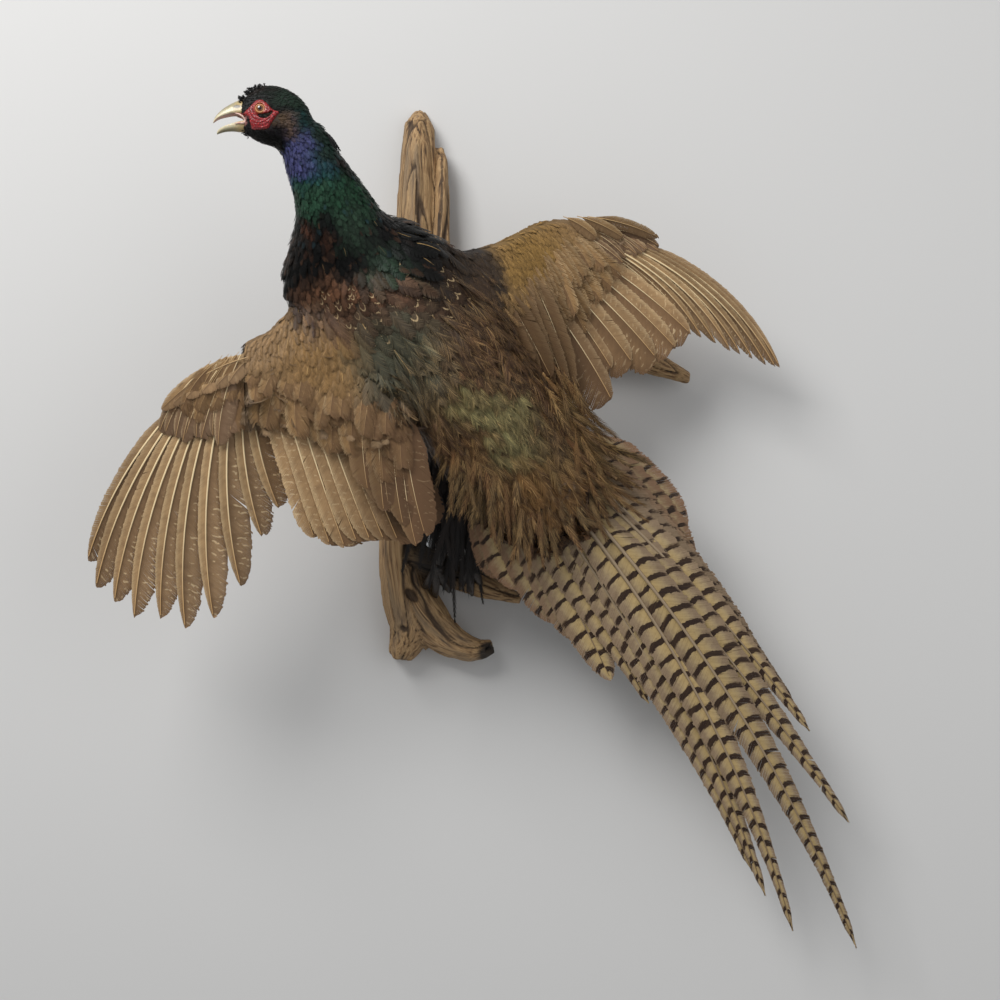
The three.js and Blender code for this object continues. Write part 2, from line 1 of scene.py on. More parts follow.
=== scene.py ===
"""The looks of a taxidermy pheasant cock of the dark form, in flight on a piece of driftwood.

Metres, +Z up, +X to the viewer's right. The wall is the plane Y = 0 and the room is at -Y. A place
is written as (x, off, z) in millimetres, where off is the distance off the wall, and spot() turns
it into a point. Left and right are the bird's own, so its left wing is at the viewer's left.
"""

import json
import logging
import math
from dataclasses import dataclass, field
from enum import Enum

import bmesh
import bpy
import numpy as np
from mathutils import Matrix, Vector, noise
from mathutils.bvhtree import BVHTree
from mathutils.kdtree import KDTree

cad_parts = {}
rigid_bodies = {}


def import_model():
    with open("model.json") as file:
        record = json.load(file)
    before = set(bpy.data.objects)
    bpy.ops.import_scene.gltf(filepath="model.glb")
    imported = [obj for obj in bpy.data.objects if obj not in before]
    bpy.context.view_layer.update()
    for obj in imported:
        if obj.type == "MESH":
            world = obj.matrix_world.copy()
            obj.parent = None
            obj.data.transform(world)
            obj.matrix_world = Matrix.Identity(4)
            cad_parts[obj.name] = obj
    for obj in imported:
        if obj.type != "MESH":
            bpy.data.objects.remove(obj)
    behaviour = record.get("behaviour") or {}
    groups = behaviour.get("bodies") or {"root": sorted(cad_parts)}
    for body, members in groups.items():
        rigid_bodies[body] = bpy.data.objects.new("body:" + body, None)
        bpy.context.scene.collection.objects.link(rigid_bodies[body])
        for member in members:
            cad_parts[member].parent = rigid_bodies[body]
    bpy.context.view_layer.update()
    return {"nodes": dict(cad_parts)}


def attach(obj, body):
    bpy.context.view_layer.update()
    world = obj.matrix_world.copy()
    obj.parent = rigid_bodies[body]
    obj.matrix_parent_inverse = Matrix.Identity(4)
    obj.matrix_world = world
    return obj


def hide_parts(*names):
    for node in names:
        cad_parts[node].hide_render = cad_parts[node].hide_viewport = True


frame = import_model()

log = logging.getLogger("pheasant")

Colour = tuple[float, float, float, float]
Place = tuple[float, float, float]
Array = np.ndarray
Socket = bpy.types.NodeSocket
Mesh = bpy.types.Mesh
Material = bpy.types.Material
Piece = bpy.types.Object

MM = 0.001
BODY = "root"
OUT = np.array((0.0, -1.0, 0.0))  # off the wall, into the room
PROBE = 0.06  # metres before and behind a root's wished place in which the skin is looked for
DENSEST = 1.0e6  # feathers on a square metre, more than any bed's spacing lets in


class Side(Enum):
    """The bird's own left and right, with the way each lies along X as the viewer sees it."""

    LEFT = -1  # and of the head the side that faces the room
    RIGHT = 1


class Outline(Enum):
    """How a feather's vanes end: a round end, a long taper, or a full soft one."""

    ROUND = "round"
    TAPER = "taper"
    SOFT = "soft"


# ---- numbers and places -------------------------------------------------------------------------


def spot(x: float, off: float, z: float) -> Array:
    """A point in metres from its place in millimetres.

    Args:
        x: Distance to the viewer's right of the driftwood's middle.
        off: Distance off the wall.
        z: Height above the driftwood's middle.

    Returns:
        The point as an array of three.
    """
    return np.array((x, -off, z)) * MM


def paint(red: float, green: float, blue: float) -> Colour:
    """A colour from its usual 0 to 255 numbers, as the linear ones that shaders take.

    Args:
        red: Its red part.
        green: Its green part.
        blue: Its blue part.

    Returns:
        The colour, fully opaque.
    """
    shares = [channel / 255 for channel in (red, green, blue)]
    linear = [s / 12.92 if s <= 0.04045 else ((s + 0.055) / 1.055) ** 2.4 for s in shares]
    return (*linear, 1.0)


def unit(vectors: Array) -> Array:
    """The vectors at length one."""
    return vectors / np.maximum(np.linalg.norm(vectors, axis=-1, keepdims=True), 1e-12)


def laid(vectors: Array, normals: Array) -> Array:
    """The vectors laid flat on a surface, at length one."""
    return unit(vectors - np.sum(vectors * normals, axis=1, keepdims=True) * normals)


def ease(values: Array | float, low: float, high: float) -> Array:
    """A smooth step from 0 at low to 1 at high."""
    share = np.clip((np.asarray(values, float) - low) / (high - low), 0, 1)
    return share * share * (3 - 2 * share)


def along_course(points: Array, shares: Array) -> Array:
    """Reads a smooth line through evenly numbered points.

    Args:
        points: The points that the line goes through, one a row.
        shares: Where to read it, from 0 at the first point to 1 at the last.

    Returns:
        One row for each share.
    """
    points = np.asarray(points, float)
    padded = np.vstack((2 * points[0] - points[1], points, 2 * points[-1] - points[-2]))
    place = np.clip(np.atleast_1d(shares), 0, 1) * (len(points) - 1)
    cell = np.minimum(place.astype(int), len(points) - 2)
    t = (place - cell)[:, None]
    a, b, c, d = (padded[cell + k] for k in range(4))
    return 0.5 * (2 * b + (c - a) * t + (2 * a - 5 * b + 4 * c - d) * t**2
                  + (3 * b - a - 3 * c + d) * t**3)


def nearest_rows(rows: Array, points: Array) -> Array:
    """The number of the row that lies nearest to each point.

    Args:
        rows: The points to choose from, one a row.
        points: The points to place.

    Returns:
        One number for each point.
    """
    tree = KDTree(len(rows))
    for number, row in enumerate(rows):
        tree.insert(row, number)
    tree.balance()
    return np.array([tree.find(point)[1] for point in points])


# ---- node graphs --------------------------------------------------------------------------------


class Graph:
    """A node tree, built one node at a time."""

    def __init__(self, tree: bpy.types.NodeTree) -> None:
        """Starts on an empty tree."""
        self.tree = tree
        tree.nodes.clear()

    def put(self, kind: str, inputs: dict | None = None, **settings: object) -> bpy.types.Node:
        """Adds a node.

        Args:
            kind: The node's type name.
            inputs: What goes into its sockets, by name or number: a socket or a constant.
            settings: The node's own properties.

        Returns:
            The new node.
        """
        node = self.tree.nodes.new(kind)
        for key, value in settings.items():
            setattr(node, key, value)
        for key, value in (inputs or {}).items():
            self.feed(node.inputs[key], value)
        return node

    def feed(self, socket: Socket, value: object) -> None:
        """Links a socket to another one, or sets its constant.

        Args:
            socket: The socket.
            value: Another socket or a constant.
        """
        if isinstance(value, Socket):
            self.tree.links.new(value, socket)
        else:
            socket.default_value = value

    def sum(self, operation: str, *values: object) -> Socket:
        """One step of arithmetic on up to three numbers."""
        return self.put("ShaderNodeMath", dict(enumerate(values)), operation=operation).outputs[0]

    def times(self, product: object, *others: object) -> object:
        """The product of some numbers.

        Args:
            product: The first number.
            others: What it is multiplied by.

        Returns:
            The product.
        """
        for other in others:
            product = self.sum("MULTIPLY", product, other)
        return product

    def shifted(self, total: object, *shifts: tuple[object, float]) -> object:
        """A number with some others added to it, each times its own scale.

        Args:
            total: The number.
            shifts: The others, each with its scale.

        Returns:
            The total.
        """
        for value, scale in shifts:
            total = self.sum("MULTIPLY_ADD", value, scale, total)
        return total

    def vectors(self, operation: str, *values: object) -> Socket:
        """One step of arithmetic on up to three vectors."""
        return self.put("ShaderNodeVectorMath", dict(enumerate(values)), operation=operation).outputs[0]

    def joined(self, x: object, y: object, z: object = 0.0) -> Socket:
        """A vector of three numbers."""
        return self.put("ShaderNodeCombineXYZ", {0: x, 1: y, 2: z}).outputs[0]


class Shader(Graph):
    """A material's graph, with short forms for what the finishes use."""

    def __init__(self, name: str) -> None:
        """Makes the material that the graph belongs to.

        Args:
            name: The material's name.
        """
        self.material = bpy.data.materials.new(name)
        self.material.use_nodes = True
        super().__init__(self.material.node_tree)
        self.place = self.put("ShaderNodeTexCoord").outputs["Object"]

    def mark(self, name: str) -> Socket:
        """A number kept with the mesh's points."""
        return self.put("ShaderNodeAttribute", attribute_name=name).outputs["Fac"]

    def vector(self, name: str) -> Socket:
        """A vector kept with the mesh's points."""
        return self.put("ShaderNodeAttribute", attribute_name=name).outputs["Vector"]

    def step(self, value: object, low: float, high: float) -> Socket:
        """A smooth step from 0 at low to 1 at high, or back where high is the lower."""
        ends = {"Value": value, "From Min": low, "From Max": high}
        return self.put("ShaderNodeMapRange", ends, interpolation_type="SMOOTHSTEP").outputs[0]

    def band(self, value: object, up: tuple[float, float], down: tuple[float, float]) -> Socket:
        """A smooth step up and one down again."""
        return self.times(self.step(value, *up), self.step(value, *down))

    def blend(self, share: object, a: object, b: object, kind: str = "MIX") -> Socket:
        """Mixes two colours."""
        node = self.put("ShaderNodeMix", {0: share, 6: a, 7: b}, data_type="RGBA", blend_type=kind)
        return node.outputs[2]

    def cover(self, base: object, colour: object, *shares: object) -> Socket:
        """Lays a colour over another one, as far as the product of some shares."""
        return self.blend(self.times(*shares), base, colour)

    def toned(self, colour: object, tone: object, spread: float, least: float) -> Socket:
        """A colour whose brightness varies from feather to feather."""
        light = self.sum("MULTIPLY_ADD", tone, spread, least)
        return self.blend(1.0, colour, self.joined(light, light, light), "MULTIPLY")

    def ramp(self, share: object, *stops: tuple[float, Colour]) -> Socket:
        """Reads a colour off a row of stops.

        Args:
            share: Where to read it.
            stops: Places from 0 to 1 and their colours.

        Returns:
            The colour.
        """
        node = self.put("ShaderNodeValToRGB", {0: share})
        elements = node.color_ramp.elements
        while len(elements) < len(stops):
            elements.new(1.0)
        for element, (position, colour) in zip(elements, stops):
            element.position = position
            element.color = colour
        return node.outputs["Color"]

    def stretched(self, scale: Place, source: object) -> Socket:
        """A vector scaled along each axis."""
        return self.put("ShaderNodeMapping", {"Vector": source, "Scale": scale}).outputs[0]

    def noise(self, scale: float, source: object = None, detail: float = 3.0) -> Socket:
        """Soft noise between about 0.25 and 0.75."""
        inputs = {"Scale": scale, "Detail": detail, "Vector": self.place if source is None else source}
        return self.put("ShaderNodeTexNoise", inputs).outputs[0]

    def bumped(self, height: object, strength: float, depth: float) -> Socket:
        """A normal that follows a height, whose full step is depth metres."""
        inputs = {"Height": height, "Strength": strength, "Distance": depth}
        return self.put("ShaderNodeBump", inputs).outputs[0]

    def close(self, colour: object, roughness: object, normal: object = None,
              **constants: object) -> Material:
        """Ends the graph in one shader.

        Args:
            colour: The base colour.
            roughness: The roughness.
            normal: The normal, where there is a bump.
            constants: Other inputs of the shader, with underscores for spaces.

        Returns:
            The finished material.
        """
        inputs = {"Base Color": colour, "Roughness": roughness}
        inputs.update({key.replace("_", " "): value for key, value in constants.items()})
        if normal is not None:
            inputs["Normal"] = normal
        shader = self.put("ShaderNodeBsdfPrincipled", inputs)
        self.put("ShaderNodeOutputMaterial", {"Surface": shader.outputs[0]})
        return self.material


# ---- finishes -----------------------------------------------------------------------------------


class Finish:
    """A finish whose material is made once, the first time that it is asked for."""

    name: str = "finish"

    def material(self) -> Material:
        """The finish's material."""
        title = f"{self.name}_finish"
        return bpy.data.materials.get(title) or self.dress(Shader(title))

    def dress(self, shader: Shader) -> Material:
        """Builds the material's graph."""
        raise NotImplementedError


@dataclass(frozen=True)
class ShaftFinish(Finish):
    """The bare shaft of a large feather: pale at the root side and darker towards the tip."""

    name: str = "feather_shaft"
    pale: Colour = paint(232, 208, 164)
    dark: Colour = paint(196, 156, 104)

    def dress(self, shader: Shader) -> Material:
        """Builds the material's graph."""
        colour = shader.blend(shader.step(shader.mark("along"), 0.55, 1.0), self.pale, self.dark)
        return shader.close(colour, 0.4)


@dataclass(frozen=True)
class FlightFinish(Finish):
    """A wing quill: buff outer vane, greyer inner vane with rows of pale flecks, fine barb lines."""

    name: str
    outer: Colour = paint(166, 136, 98)
    inner: Colour = paint(158, 128, 94)
    dark: Colour = paint(92, 68, 48)
    fleck: Colour = paint(216, 190, 148)
    flecks: float = 0.9
    both: float = 0.0  # how far the flecks show on the outer vane too
    dusk: float = 0.3  # how far the feather darkens towards the end of its row
    lined: float = 0.3  # strength of the barb lines
    edge: float = 0.35  # how pale the outer vane's edge is
    spacing: float = 0.0056  # from one row of flecks to the next

    def dress(self, shader: Shader) -> Material:
        """Builds the material's graph.

        Args:
            shader: The empty graph to build.

        Returns:
            The finished material.
        """
        across, along, reach, tone, row = map(shader.mark, ("across", "along", "reach", "tone", "row"))
        base = shader.blend(shader.step(across, -0.1, 0.12), self.inner, self.outer)
        cloud = shader.noise(26.0, shader.joined(shader.times(across, 0.02), along, tone), 2.0)
        base = shader.cover(base, self.dark, shader.step(cloud, 0.4, 0.75), 0.3)
        base = shader.cover(base, self.dark, shader.band(across, (-0.5, -0.02), (0.16, 0.0)), 0.5)
        base = shader.cover(base, self.fleck, shader.step(across, 0.5, 1.0), self.edge)
        base = shader.cover(base, self.dark, shader.step(row, 0.45, 1.0), self.dusk)
        base = shader.cover(base, self.dark, shader.step(across, -0.75, -1.0), 0.4)
        place = shader.shifted(reach, (shader.noise(120.0, detail=1.0), 0.007), (across, 0.004))
        turn = shader.sum("FRACT", shader.sum("DIVIDE", place, self.spacing))
        inside = shader.band(across, (-0.2, -0.35), (-0.95, -0.8))
        outside = shader.band(across, (0.15, 0.3), (0.95, 0.8))
        base = shader.cover(base, self.fleck, shader.band(turn, (0.34, 0.22), (0.0, 0.08)),
                            shader.shifted(inside, (outside, self.both)),
                            shader.step(shader.noise(210.0, detail=2.0), 0.5, 0.56),
                            shader.shifted(1.0, (row, -0.9 * self.dusk)), self.flecks)
        lines = barb_lines(shader, across)
        base = shader.cover(base, self.dark, lines, self.lined)
        base = shader.toned(base, tone, 0.36, 0.86)
        base = shader.cover(base, self.dark, shader.step(along, 0.86, 1.0), 0.35)
        return shader.close(base, 0.6, shader.bumped(lines, 0.35, 0.0003), Specular_IOR_Level=0.18)


def barb_lines(shader: Shader, across: object) -> Socket:
    """Fine slanting lines along a vane's barbs, from 0 to 1.

    Args:
        shader: The graph that they join.
        across: The place across the vane.

    Returns:
        The lines' strength.
    """
    barb = shader.mark("barb")
    fine = shader.noise(1400.0, shader.joined(shader.times(across, 0.0004), barb), 2.0)
    broad = shader.noise(260.0, shader.joined(shader.times(across, 0.002), barb), 2.0)
    return shader.times(shader.step(fine, 0.38, 0.64), shader.step(broad, 0.3, 0.66))


@dataclass(frozen=True)
class TailFinish(Finish):
    """A tail feather: olive buff with a greyer, redder fringe, crossed by dark bars."""

    name: str = "tail_feather"
    ground: Colour = paint(160, 140, 106)
    middle: Colour = paint(172, 148, 102)
    mottled: Colour = paint(140, 118, 80)
    line: Colour = paint(96, 74, 48)
    fringe: Colour = paint(128, 108, 88)
    rust: Colour = paint(128, 78, 50)
    bar: Colour = paint(44, 30, 22)
    spacing: float = 0.0172
    thick: float = 0.29  # a bar's share of the spacing

    def dress(self, shader: Shader) -> Material:
        """Builds the material's graph.

        Args:
            shader: The empty graph to build.

        Returns:
            The finished material.
        """
        across, reach, tone, row = map(shader.mark, ("across", "reach", "tone", "row"))
        aside = shader.sum("ABSOLUTE", across)
        mottle = shader.noise(300.0, detail=2.0)
        base = shader.blend(shader.step(aside, 0.7, 0.15), self.ground, self.middle)
        base = shader.cover(base, self.mottled, shader.step(mottle, 0.45, 0.8), 0.4)
        rim = shader.cover(self.fringe, self.rust, shader.step(row, 0.3, 0.9), 0.5)
        base = shader.cover(base, rim, shader.step(shader.shifted(aside, (mottle, 0.4)), 0.62, 1.05), 0.85)
        place = shader.shifted(reach, (shader.noise(70.0, detail=2.0), 0.008), (tone, 0.06),
                               (shader.sum("GREATER_THAN", across, 0.0), 0.005),
                               (shader.sum("POWER", aside, 3.0), -0.006))
        turn = shader.sum("FRACT", shader.sum("DIVIDE", place, self.spacing))
        turn = shader.sum("ABSOLUTE", shader.sum("SUBTRACT", turn, 0.5))
        slim = shader.sum("MULTIPLY_ADD", shader.step(reach, 0.02, 0.2), 0.55, 0.45)
        near = shader.shifted(-0.06, (turn, 1.0), (shader.noise(520.0, detail=2.0), 0.12),
                              (slim, -self.thick / 2))
        lines = barb_lines(shader, across)
        base = shader.cover(base, self.bar, shader.step(near, 0.14, 0.0), shader.step(lines, 0.1, 0.6), 0.7)
        base = shader.cover(base, self.bar, shader.step(near, 0.02, -0.01), shader.step(aside, 1.0, 0.86))
        base = shader.cover(base, self.line, lines, 0.3)
        base = shader.toned(base, tone, 0.3, 0.86)
        return shader.close(base, 0.55, shader.bumped(lines, 0.3, 0.0003), Specular_IOR_Level=0.22)


# ---- meshes gathered from many small ones -------------------------------------------------------


def values_of(items: object, key: str, width: int = 3, kind: type = np.float32) -> Array:
    """Reads one number or vector of each of a mesh's items.

    Args:
        items: The items.
        key: The name of what is read.
        width: How many numbers each item has.
        kind: The numbers' type.

    Returns:
        One row for each item, or one number where the width is 1.
    """
    values = np.empty((len(items), width), kind)
    items.foreach_get(key, values.ravel())
    return values if width > 1 else values[:, 0]


def move(mesh: Mesh, points: Array) -> None:
    """Moves a mesh's points to new places."""
    mesh.vertices.foreach_set("co", points.astype(np.float32).ravel())


def keep(mesh: Mesh, name: str, values: Array) -> None:
    """Keeps a number or a vector with each of a mesh's points."""
    kind, key = ("FLOAT", "value") if values.ndim == 1 else ("FLOAT_VECTOR", "vector")
    mesh.attributes.new(name, kind, "POINT").data.foreach_set(key, values.astype(np.float32).ravel())


def unwrap(mesh: Mesh, flat: Array) -> None:
    """Gives a mesh its bake map from a place for each of its points."""
    corners = values_of(mesh.loops, "vertex_index", 1, np.int32)
    mesh.uv_layers.new(name="OFBake").uv.foreach_set("vector", flat[corners].astype(np.float32).ravel())


class Draft:
    """A mesh being gathered from many small ones, with numbers kept for each of its points."""

    def __init__(self, name: str) -> None:
        """Starts an empty draft.

        Args:
            name: The name of the object that it becomes.
        """
        self.name = name
        self.points: list[Array] = []
        self.faces: list[Array] = []
        self.slots: list[Array] = []
        self.marks: dict[str, list[Array]] = {}
        self.count = 0

    def add(self, points: Array, faces: Array, slot: int = 0, **marks: object) -> None:
        """Adds a small mesh.

        Args:
            points: Its points, one a row.
            faces: Its four-cornered faces, as rows of point numbers.
            slot: The number of its material slot.
            marks: A number for each point, or one for all of them, under each name.
        """
        self.points.append(points)
        self.faces.append(faces + self.count)
        self.slots.append(np.full(len(faces), slot))
        for key, value in marks.items():
            full = np.broadcast_to(np.asarray(value, np.float32), (len(points),))
            self.marks.setdefault(key, []).append(full)
        self.count += len(points)

    def finished(self, *finishes: Finish) -> Piece:
        """Makes the object.

        Args:
            finishes: One finish for each material slot.

        Returns:
            The new object, at the origin.
        """
        points, faces = np.vstack(self.points), np.vstack(self.faces)
        mesh = bpy.data.meshes.new(self.name)
        mesh.vertices.add(len(points))
        move(mesh, points)
        mesh.loops.add(faces.size)
        mesh.loops.foreach_set("vertex_index", faces.astype(np.int32).ravel())
        mesh.polygons.add(len(faces))
        mesh.polygons.foreach_set("loop_start", np.arange(0, faces.size, 4, dtype=np.int32))
        mesh.polygons.foreach_set("material_index", np.concatenate(self.slots).astype(np.int32))
        mesh.polygons.foreach_set("use_smooth", np.ones(len(faces), bool))
        mesh.update(calc_edges=True)
        marks = {key: np.concatenate(values) for key, values in self.marks.items()}
        if "bake_u" in marks:
            unwrap(mesh, np.stack((marks.pop("bake_u"), marks.pop("bake_v")), 1))
        for key, values in marks.items():
            keep(mesh, key, values)
        return shown(mesh, *finishes)


def shown(mesh: Mesh, *finishes: Finish) -> Piece:
    """An object at the origin for a mesh, in its finishes.

    Args:
        mesh: The mesh.
        finishes: One finish for each material slot.

    Returns:
        The new object.
    """
    while len(mesh.materials) < len(finishes):
        mesh.materials.append(None)
    for number, finish in enumerate(finishes):
        mesh.materials[number] = finish.material()
    piece = bpy.data.objects.new(mesh.name, mesh)
    bpy.context.scene.collection.objects.link(piece)
    return piece


def settle(piece: Piece, slot: str, *nodes: str) -> None:
    """Hangs a piece on the one body and hides the CAD nodes that it stands for.

    Args:
        piece: The piece, which rides on the one body.
        slot: Not used.
        nodes: The CAD nodes that it stands for.
    """
    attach(piece, BODY)
    if nodes:
        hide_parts(*nodes)
    log.info("%s: %d faces", piece.name, len(piece.data.polygons))


def one_surface(name: str, nodes: tuple[str, ...], voxel: float, rounds: int) -> Mesh:
    """Joins CAD nodes into one even surface.

    Args:
        name: The new mesh's name.
        nodes: The nodes.
        voxel: The size of its faces, in mm.
        rounds: How many times it is smoothed.

    Returns:
        The new mesh.
    """
    joined = bmesh.new()
    for node in nodes:
        joined.from_mesh(frame["nodes"][node].data)
    mesh = bpy.data.meshes.new(name)
    joined.to_mesh(mesh)
    joined.free()
    rough = bpy.data.objects.new(name, mesh)
    bpy.context.scene.collection.objects.link(rough)
    remesh = rough.modifiers.new("one_surface", "REMESH")
    remesh.mode = "VOXEL"
    remesh.voxel_size = voxel * MM
    rough.modifiers.new("soften", "SMOOTH").iterations = rounds
    whole = bpy.data.meshes.new_from_object(rough.evaluated_get(bpy.context.evaluated_depsgraph_get()))
    bpy.data.objects.remove(rough)
    bpy.data.meshes.remove(mesh)
    whole.name = name
    return whole


def tube_faces(rings: int, sides: int, flip: bool = False) -> Array:
    """The side faces of a tube of rings.

    Args:
        rings: How many rings it has, each one's points numbered on from the last one's.
        sides: How many points each ring has.
        flip: Whether the faces are turned over.

    Returns:
        The faces as rows of four point numbers.
    """
    ring, side = np.meshgrid(np.arange(rings - 1), np.arange(sides), indexing="ij")
    a = ring * sides + side
    b = ring * sides + (side + 1) % sides
    faces = np.stack((a, b, b + sides, a + sides), -1).reshape(-1, 4)
    return faces[:, ::-1] if flip else faces


# ---- large feathers -----------------------------------------------------------------------------


@dataclass(frozen=True)
class Cut:
    """How a kind of feather is cut: the outline of its vanes and the way that its barbs lie."""

    outline: Outline = Outline.ROUND
    barbs: int = 90  # strips on each side of the shaft
    steps: int = 3  # faces along each strip
    sweep: float = 0.9  # how far a barb's end leads its root, as a share of the vane's width
    bare: float = 0.04  # share of the shaft without vanes
    full: float = 0.3  # where the vanes reach their full width
    end: float = 0.6  # where the tip begins
    cup: float = 0.12  # how far the vanes' edges droop
    fray: float = 0.035  # share of the barbs that part from their neighbours
    loose: float = 0.07  # how far the parted ones stray, as a share of the vane's width
    part: float = 0.03  # the gap between neighbours at their ends
    shaft: float = 1.0 * MM  # radius at the root
    thin: float = 0.86  # share of it lost by the tip
    rings: int = 18
    sides: int = 5

    def width(self, share: Array) -> Array:
        """The vanes' share of their full width at shares of the feather's length.

        Args:
            share: Where along the feather, from 0 to 1.

        Returns:
            The shares of the width.
        """
        root = ease(share, -0.02, self.full)
        if self.outline is Outline.TAPER:
            drawn = (1 - 0.84 * ease(share, self.end, 1.04)) * (1 - 0.8 * ease(share, 0.95, 1.0))
            return np.maximum(root * drawn, 0.01)
        over = np.clip((share - self.end) / (1 - self.end), 0, 1)
        tip = (1 - over**2.4) ** 0.75 if self.outline is Outline.ROUND else 1 - 0.75 * over**2
        return np.maximum(root * tip, 0.04)


@dataclass
class Feather:
    """One large feather: where it grows, where it ends and how it lies."""

    root: Array
    tip: Array
    outward: Array  # roughly towards its outer vane
    outer: float
    inner: float
    lift: float = 0.15  # slope of the vanes, raising the outer one
    bow: float = 0.0
    arch: float = 0.025
    row: float = 0.0
    facing: Place = (0.0, -1.0, 0.0)  # roughly off its face

    def axes(self) -> tuple[Array, Array, Array]:
        """The directions along the feather, towards its outer vane and off its face.

        Returns:
            The way from root to tip at its full length, and two directions of length one.
        """
        chord = self.tip - self.root
        up = unit(np.cross(self.outward, chord))
        up = up if up @ np.array(self.facing) > 0 else -up
        side = unit(np.cross(chord, up))
        return chord, side if side @ self.outward > 0 else -side, up

    def shaft(self, shares: Array) -> Array:
        """Points of the shaft at shares of the length.

        Args:
            shares: Where along it, from 0 to 1.

        Returns:
            One point for each share.
        """
        chord, side, up = self.axes()
        share = np.asarray(shares)[..., None]
        swell = 4 * share * (1 - share) * np.linalg.norm(chord)
        return self.root + share * chord + swell * (self.bow * side + self.arch * up)

    def draw(self, draft: Draft, cut: Cut, rng: np.random.Generator, column: tuple[float, float]) -> None:
        """Adds the feather to a draft as barb strips on both sides of a round shaft.

        Args:
            draft: The mesh that it joins.
            cut: Its cut.
            rng: What its chance draws come from.
            column: The range of the bake map that it takes, from side to side.
        """
        chord, side, up = self.axes()
        length = float(np.linalg.norm(chord))
        flat, high = unit(side + self.lift * up), unit(up - self.lift * side)
        tone = rng.random()
        marks = {"tone": tone, "row": self.row}
        edges = np.linspace(cut.bare, 1.0, cut.barbs + 1)
        out = np.linspace(0, 1, cut.steps + 1)
        for hand, width in ((1, self.outer), (-1, self.inner)):
            clump = np.cumsum(rng.random(cut.barbs) < cut.fray)
            stray = rng.normal(0, 1, (2, clump.max() + 1))[:, clump] * cut.loose
            ragged = 1 + rng.normal(0, 0.03, cut.barbs)
            middle = (edges[:-1] + edges[1:]) / 2
            half = (edges[1] - edges[0]) / 2
            narrow = 1 - (cut.part + 0.5 * np.abs(stray[0])[:, None]) * out**2
            starts = middle[:, None, None] + np.array((-half, half)) * narrow[:, :, None]
            reach = width * cut.width(starts) * ragged[:, None, None]
            lead = cut.sweep * reach * out[None, :, None] / length
            shares = starts + lead + (stray[0][:, None] * out**2 * width / length)[:, :, None]
            lateral = reach * out[None, :, None]
            rise = (stray[1][:, None] * out**2)[:, :, None] * width * 0.4
            rise = -cut.cup * lateral * out[None, :, None] + rise
            points = self.shaft(shares) + hand * lateral[..., None] * flat + rise[..., None] * high
            across = np.broadcast_to(hand * out[None, :, None], shares.shape)
            strip, step = np.meshgrid(np.arange(cut.barbs), np.arange(cut.steps), indexing="ij")
            a = (strip * (cut.steps + 1) + step) * 2
            faces = np.stack((a, a + 1, a + 3, a + 2), -1).reshape(-1, 4)
            draft.add(points.reshape(-1, 3), faces if hand < 0 else faces[:, ::-1], 0,
                      across=across.ravel(), along=shares.ravel(), reach=(shares * length).ravel(),
                      barb=np.broadcast_to(starts, shares.shape).ravel() * length,
                      **baked(column, 0.5 + 0.45 * across.ravel(), shares.ravel()), **marks)
        self.draw_shaft(draft, cut, up, side, column, marks)

    def draw_shaft(self, draft: Draft, cut: Cut, up: Array, side: Array,
                   column: tuple[float, float], marks: dict[str, float]) -> None:
        """Adds the round shaft, which stands a little proud of the vanes.

        Args:
            draft: The mesh that it joins.
            cut: The feather's cut.
            up: The direction off the feather's face.
            side: The direction towards its outer vane.
            column: The range of the bake map that it takes.
            marks: The numbers kept for all its points.
        """
        sides = cut.sides
        chord = self.tip - self.root
        shares = np.linspace(-0.05, 0.985, cut.rings)
        radius = cut.shaft * (1 - cut.thin * np.clip(shares, 0, 1))
        angle = np.arange(sides) / sides * 2 * math.pi
        ring = np.cos(angle)[:, None] * side + np.sin(angle)[:, None] * up
        centre = self.shaft(shares) + (radius * 0.6)[:, None] * up
        points = centre[:, None] + radius[:, None, None] * ring
        share = np.repeat(shares, sides)
        draft.add(points.reshape(-1, 3), tube_faces(cut.rings, sides, np.cross(side, up) @ chord <= 0), 1,
                  across=0.0, along=share, reach=share * np.linalg.norm(chord), barb=0.0,
                  **baked(column, 0.5 + 0.02 * np.tile(np.cos(angle), cut.rings), share), **marks)


def baked(column: tuple[float, float], across: Array, along: Array) -> dict[str, Array]:
    """Places in a feather's column of the bake map, from shares across it and along it."""
    first, last = column
    return {"bake_u": first + (last - first) * across, "bake_v": 0.02 + 0.96 * np.clip(along, 0, 1)}


def draw_feathers(name: str, feathers: list[Feather], cut: Cut, seed: int, *finishes: Finish) -> Piece:
    """Makes one piece of a list of feathers.

    Args:
        name: The piece's name.
        feathers: Its feathers.
        cut: The cut that they share.
        seed: What their chance draws start from.
        finishes: The finishes of vanes and shafts.

    Returns:
        The new object.
    """
    draft = Draft(name)
    rng = np.random.default_rng(seed)
    for number, feather in enumerate(feathers):
        column = ((number + 0.03) / len(feathers), (number + 0.97) / len(feathers))
        feather.draw(draft, cut, rng, column)
    return draft.finished(*finishes)


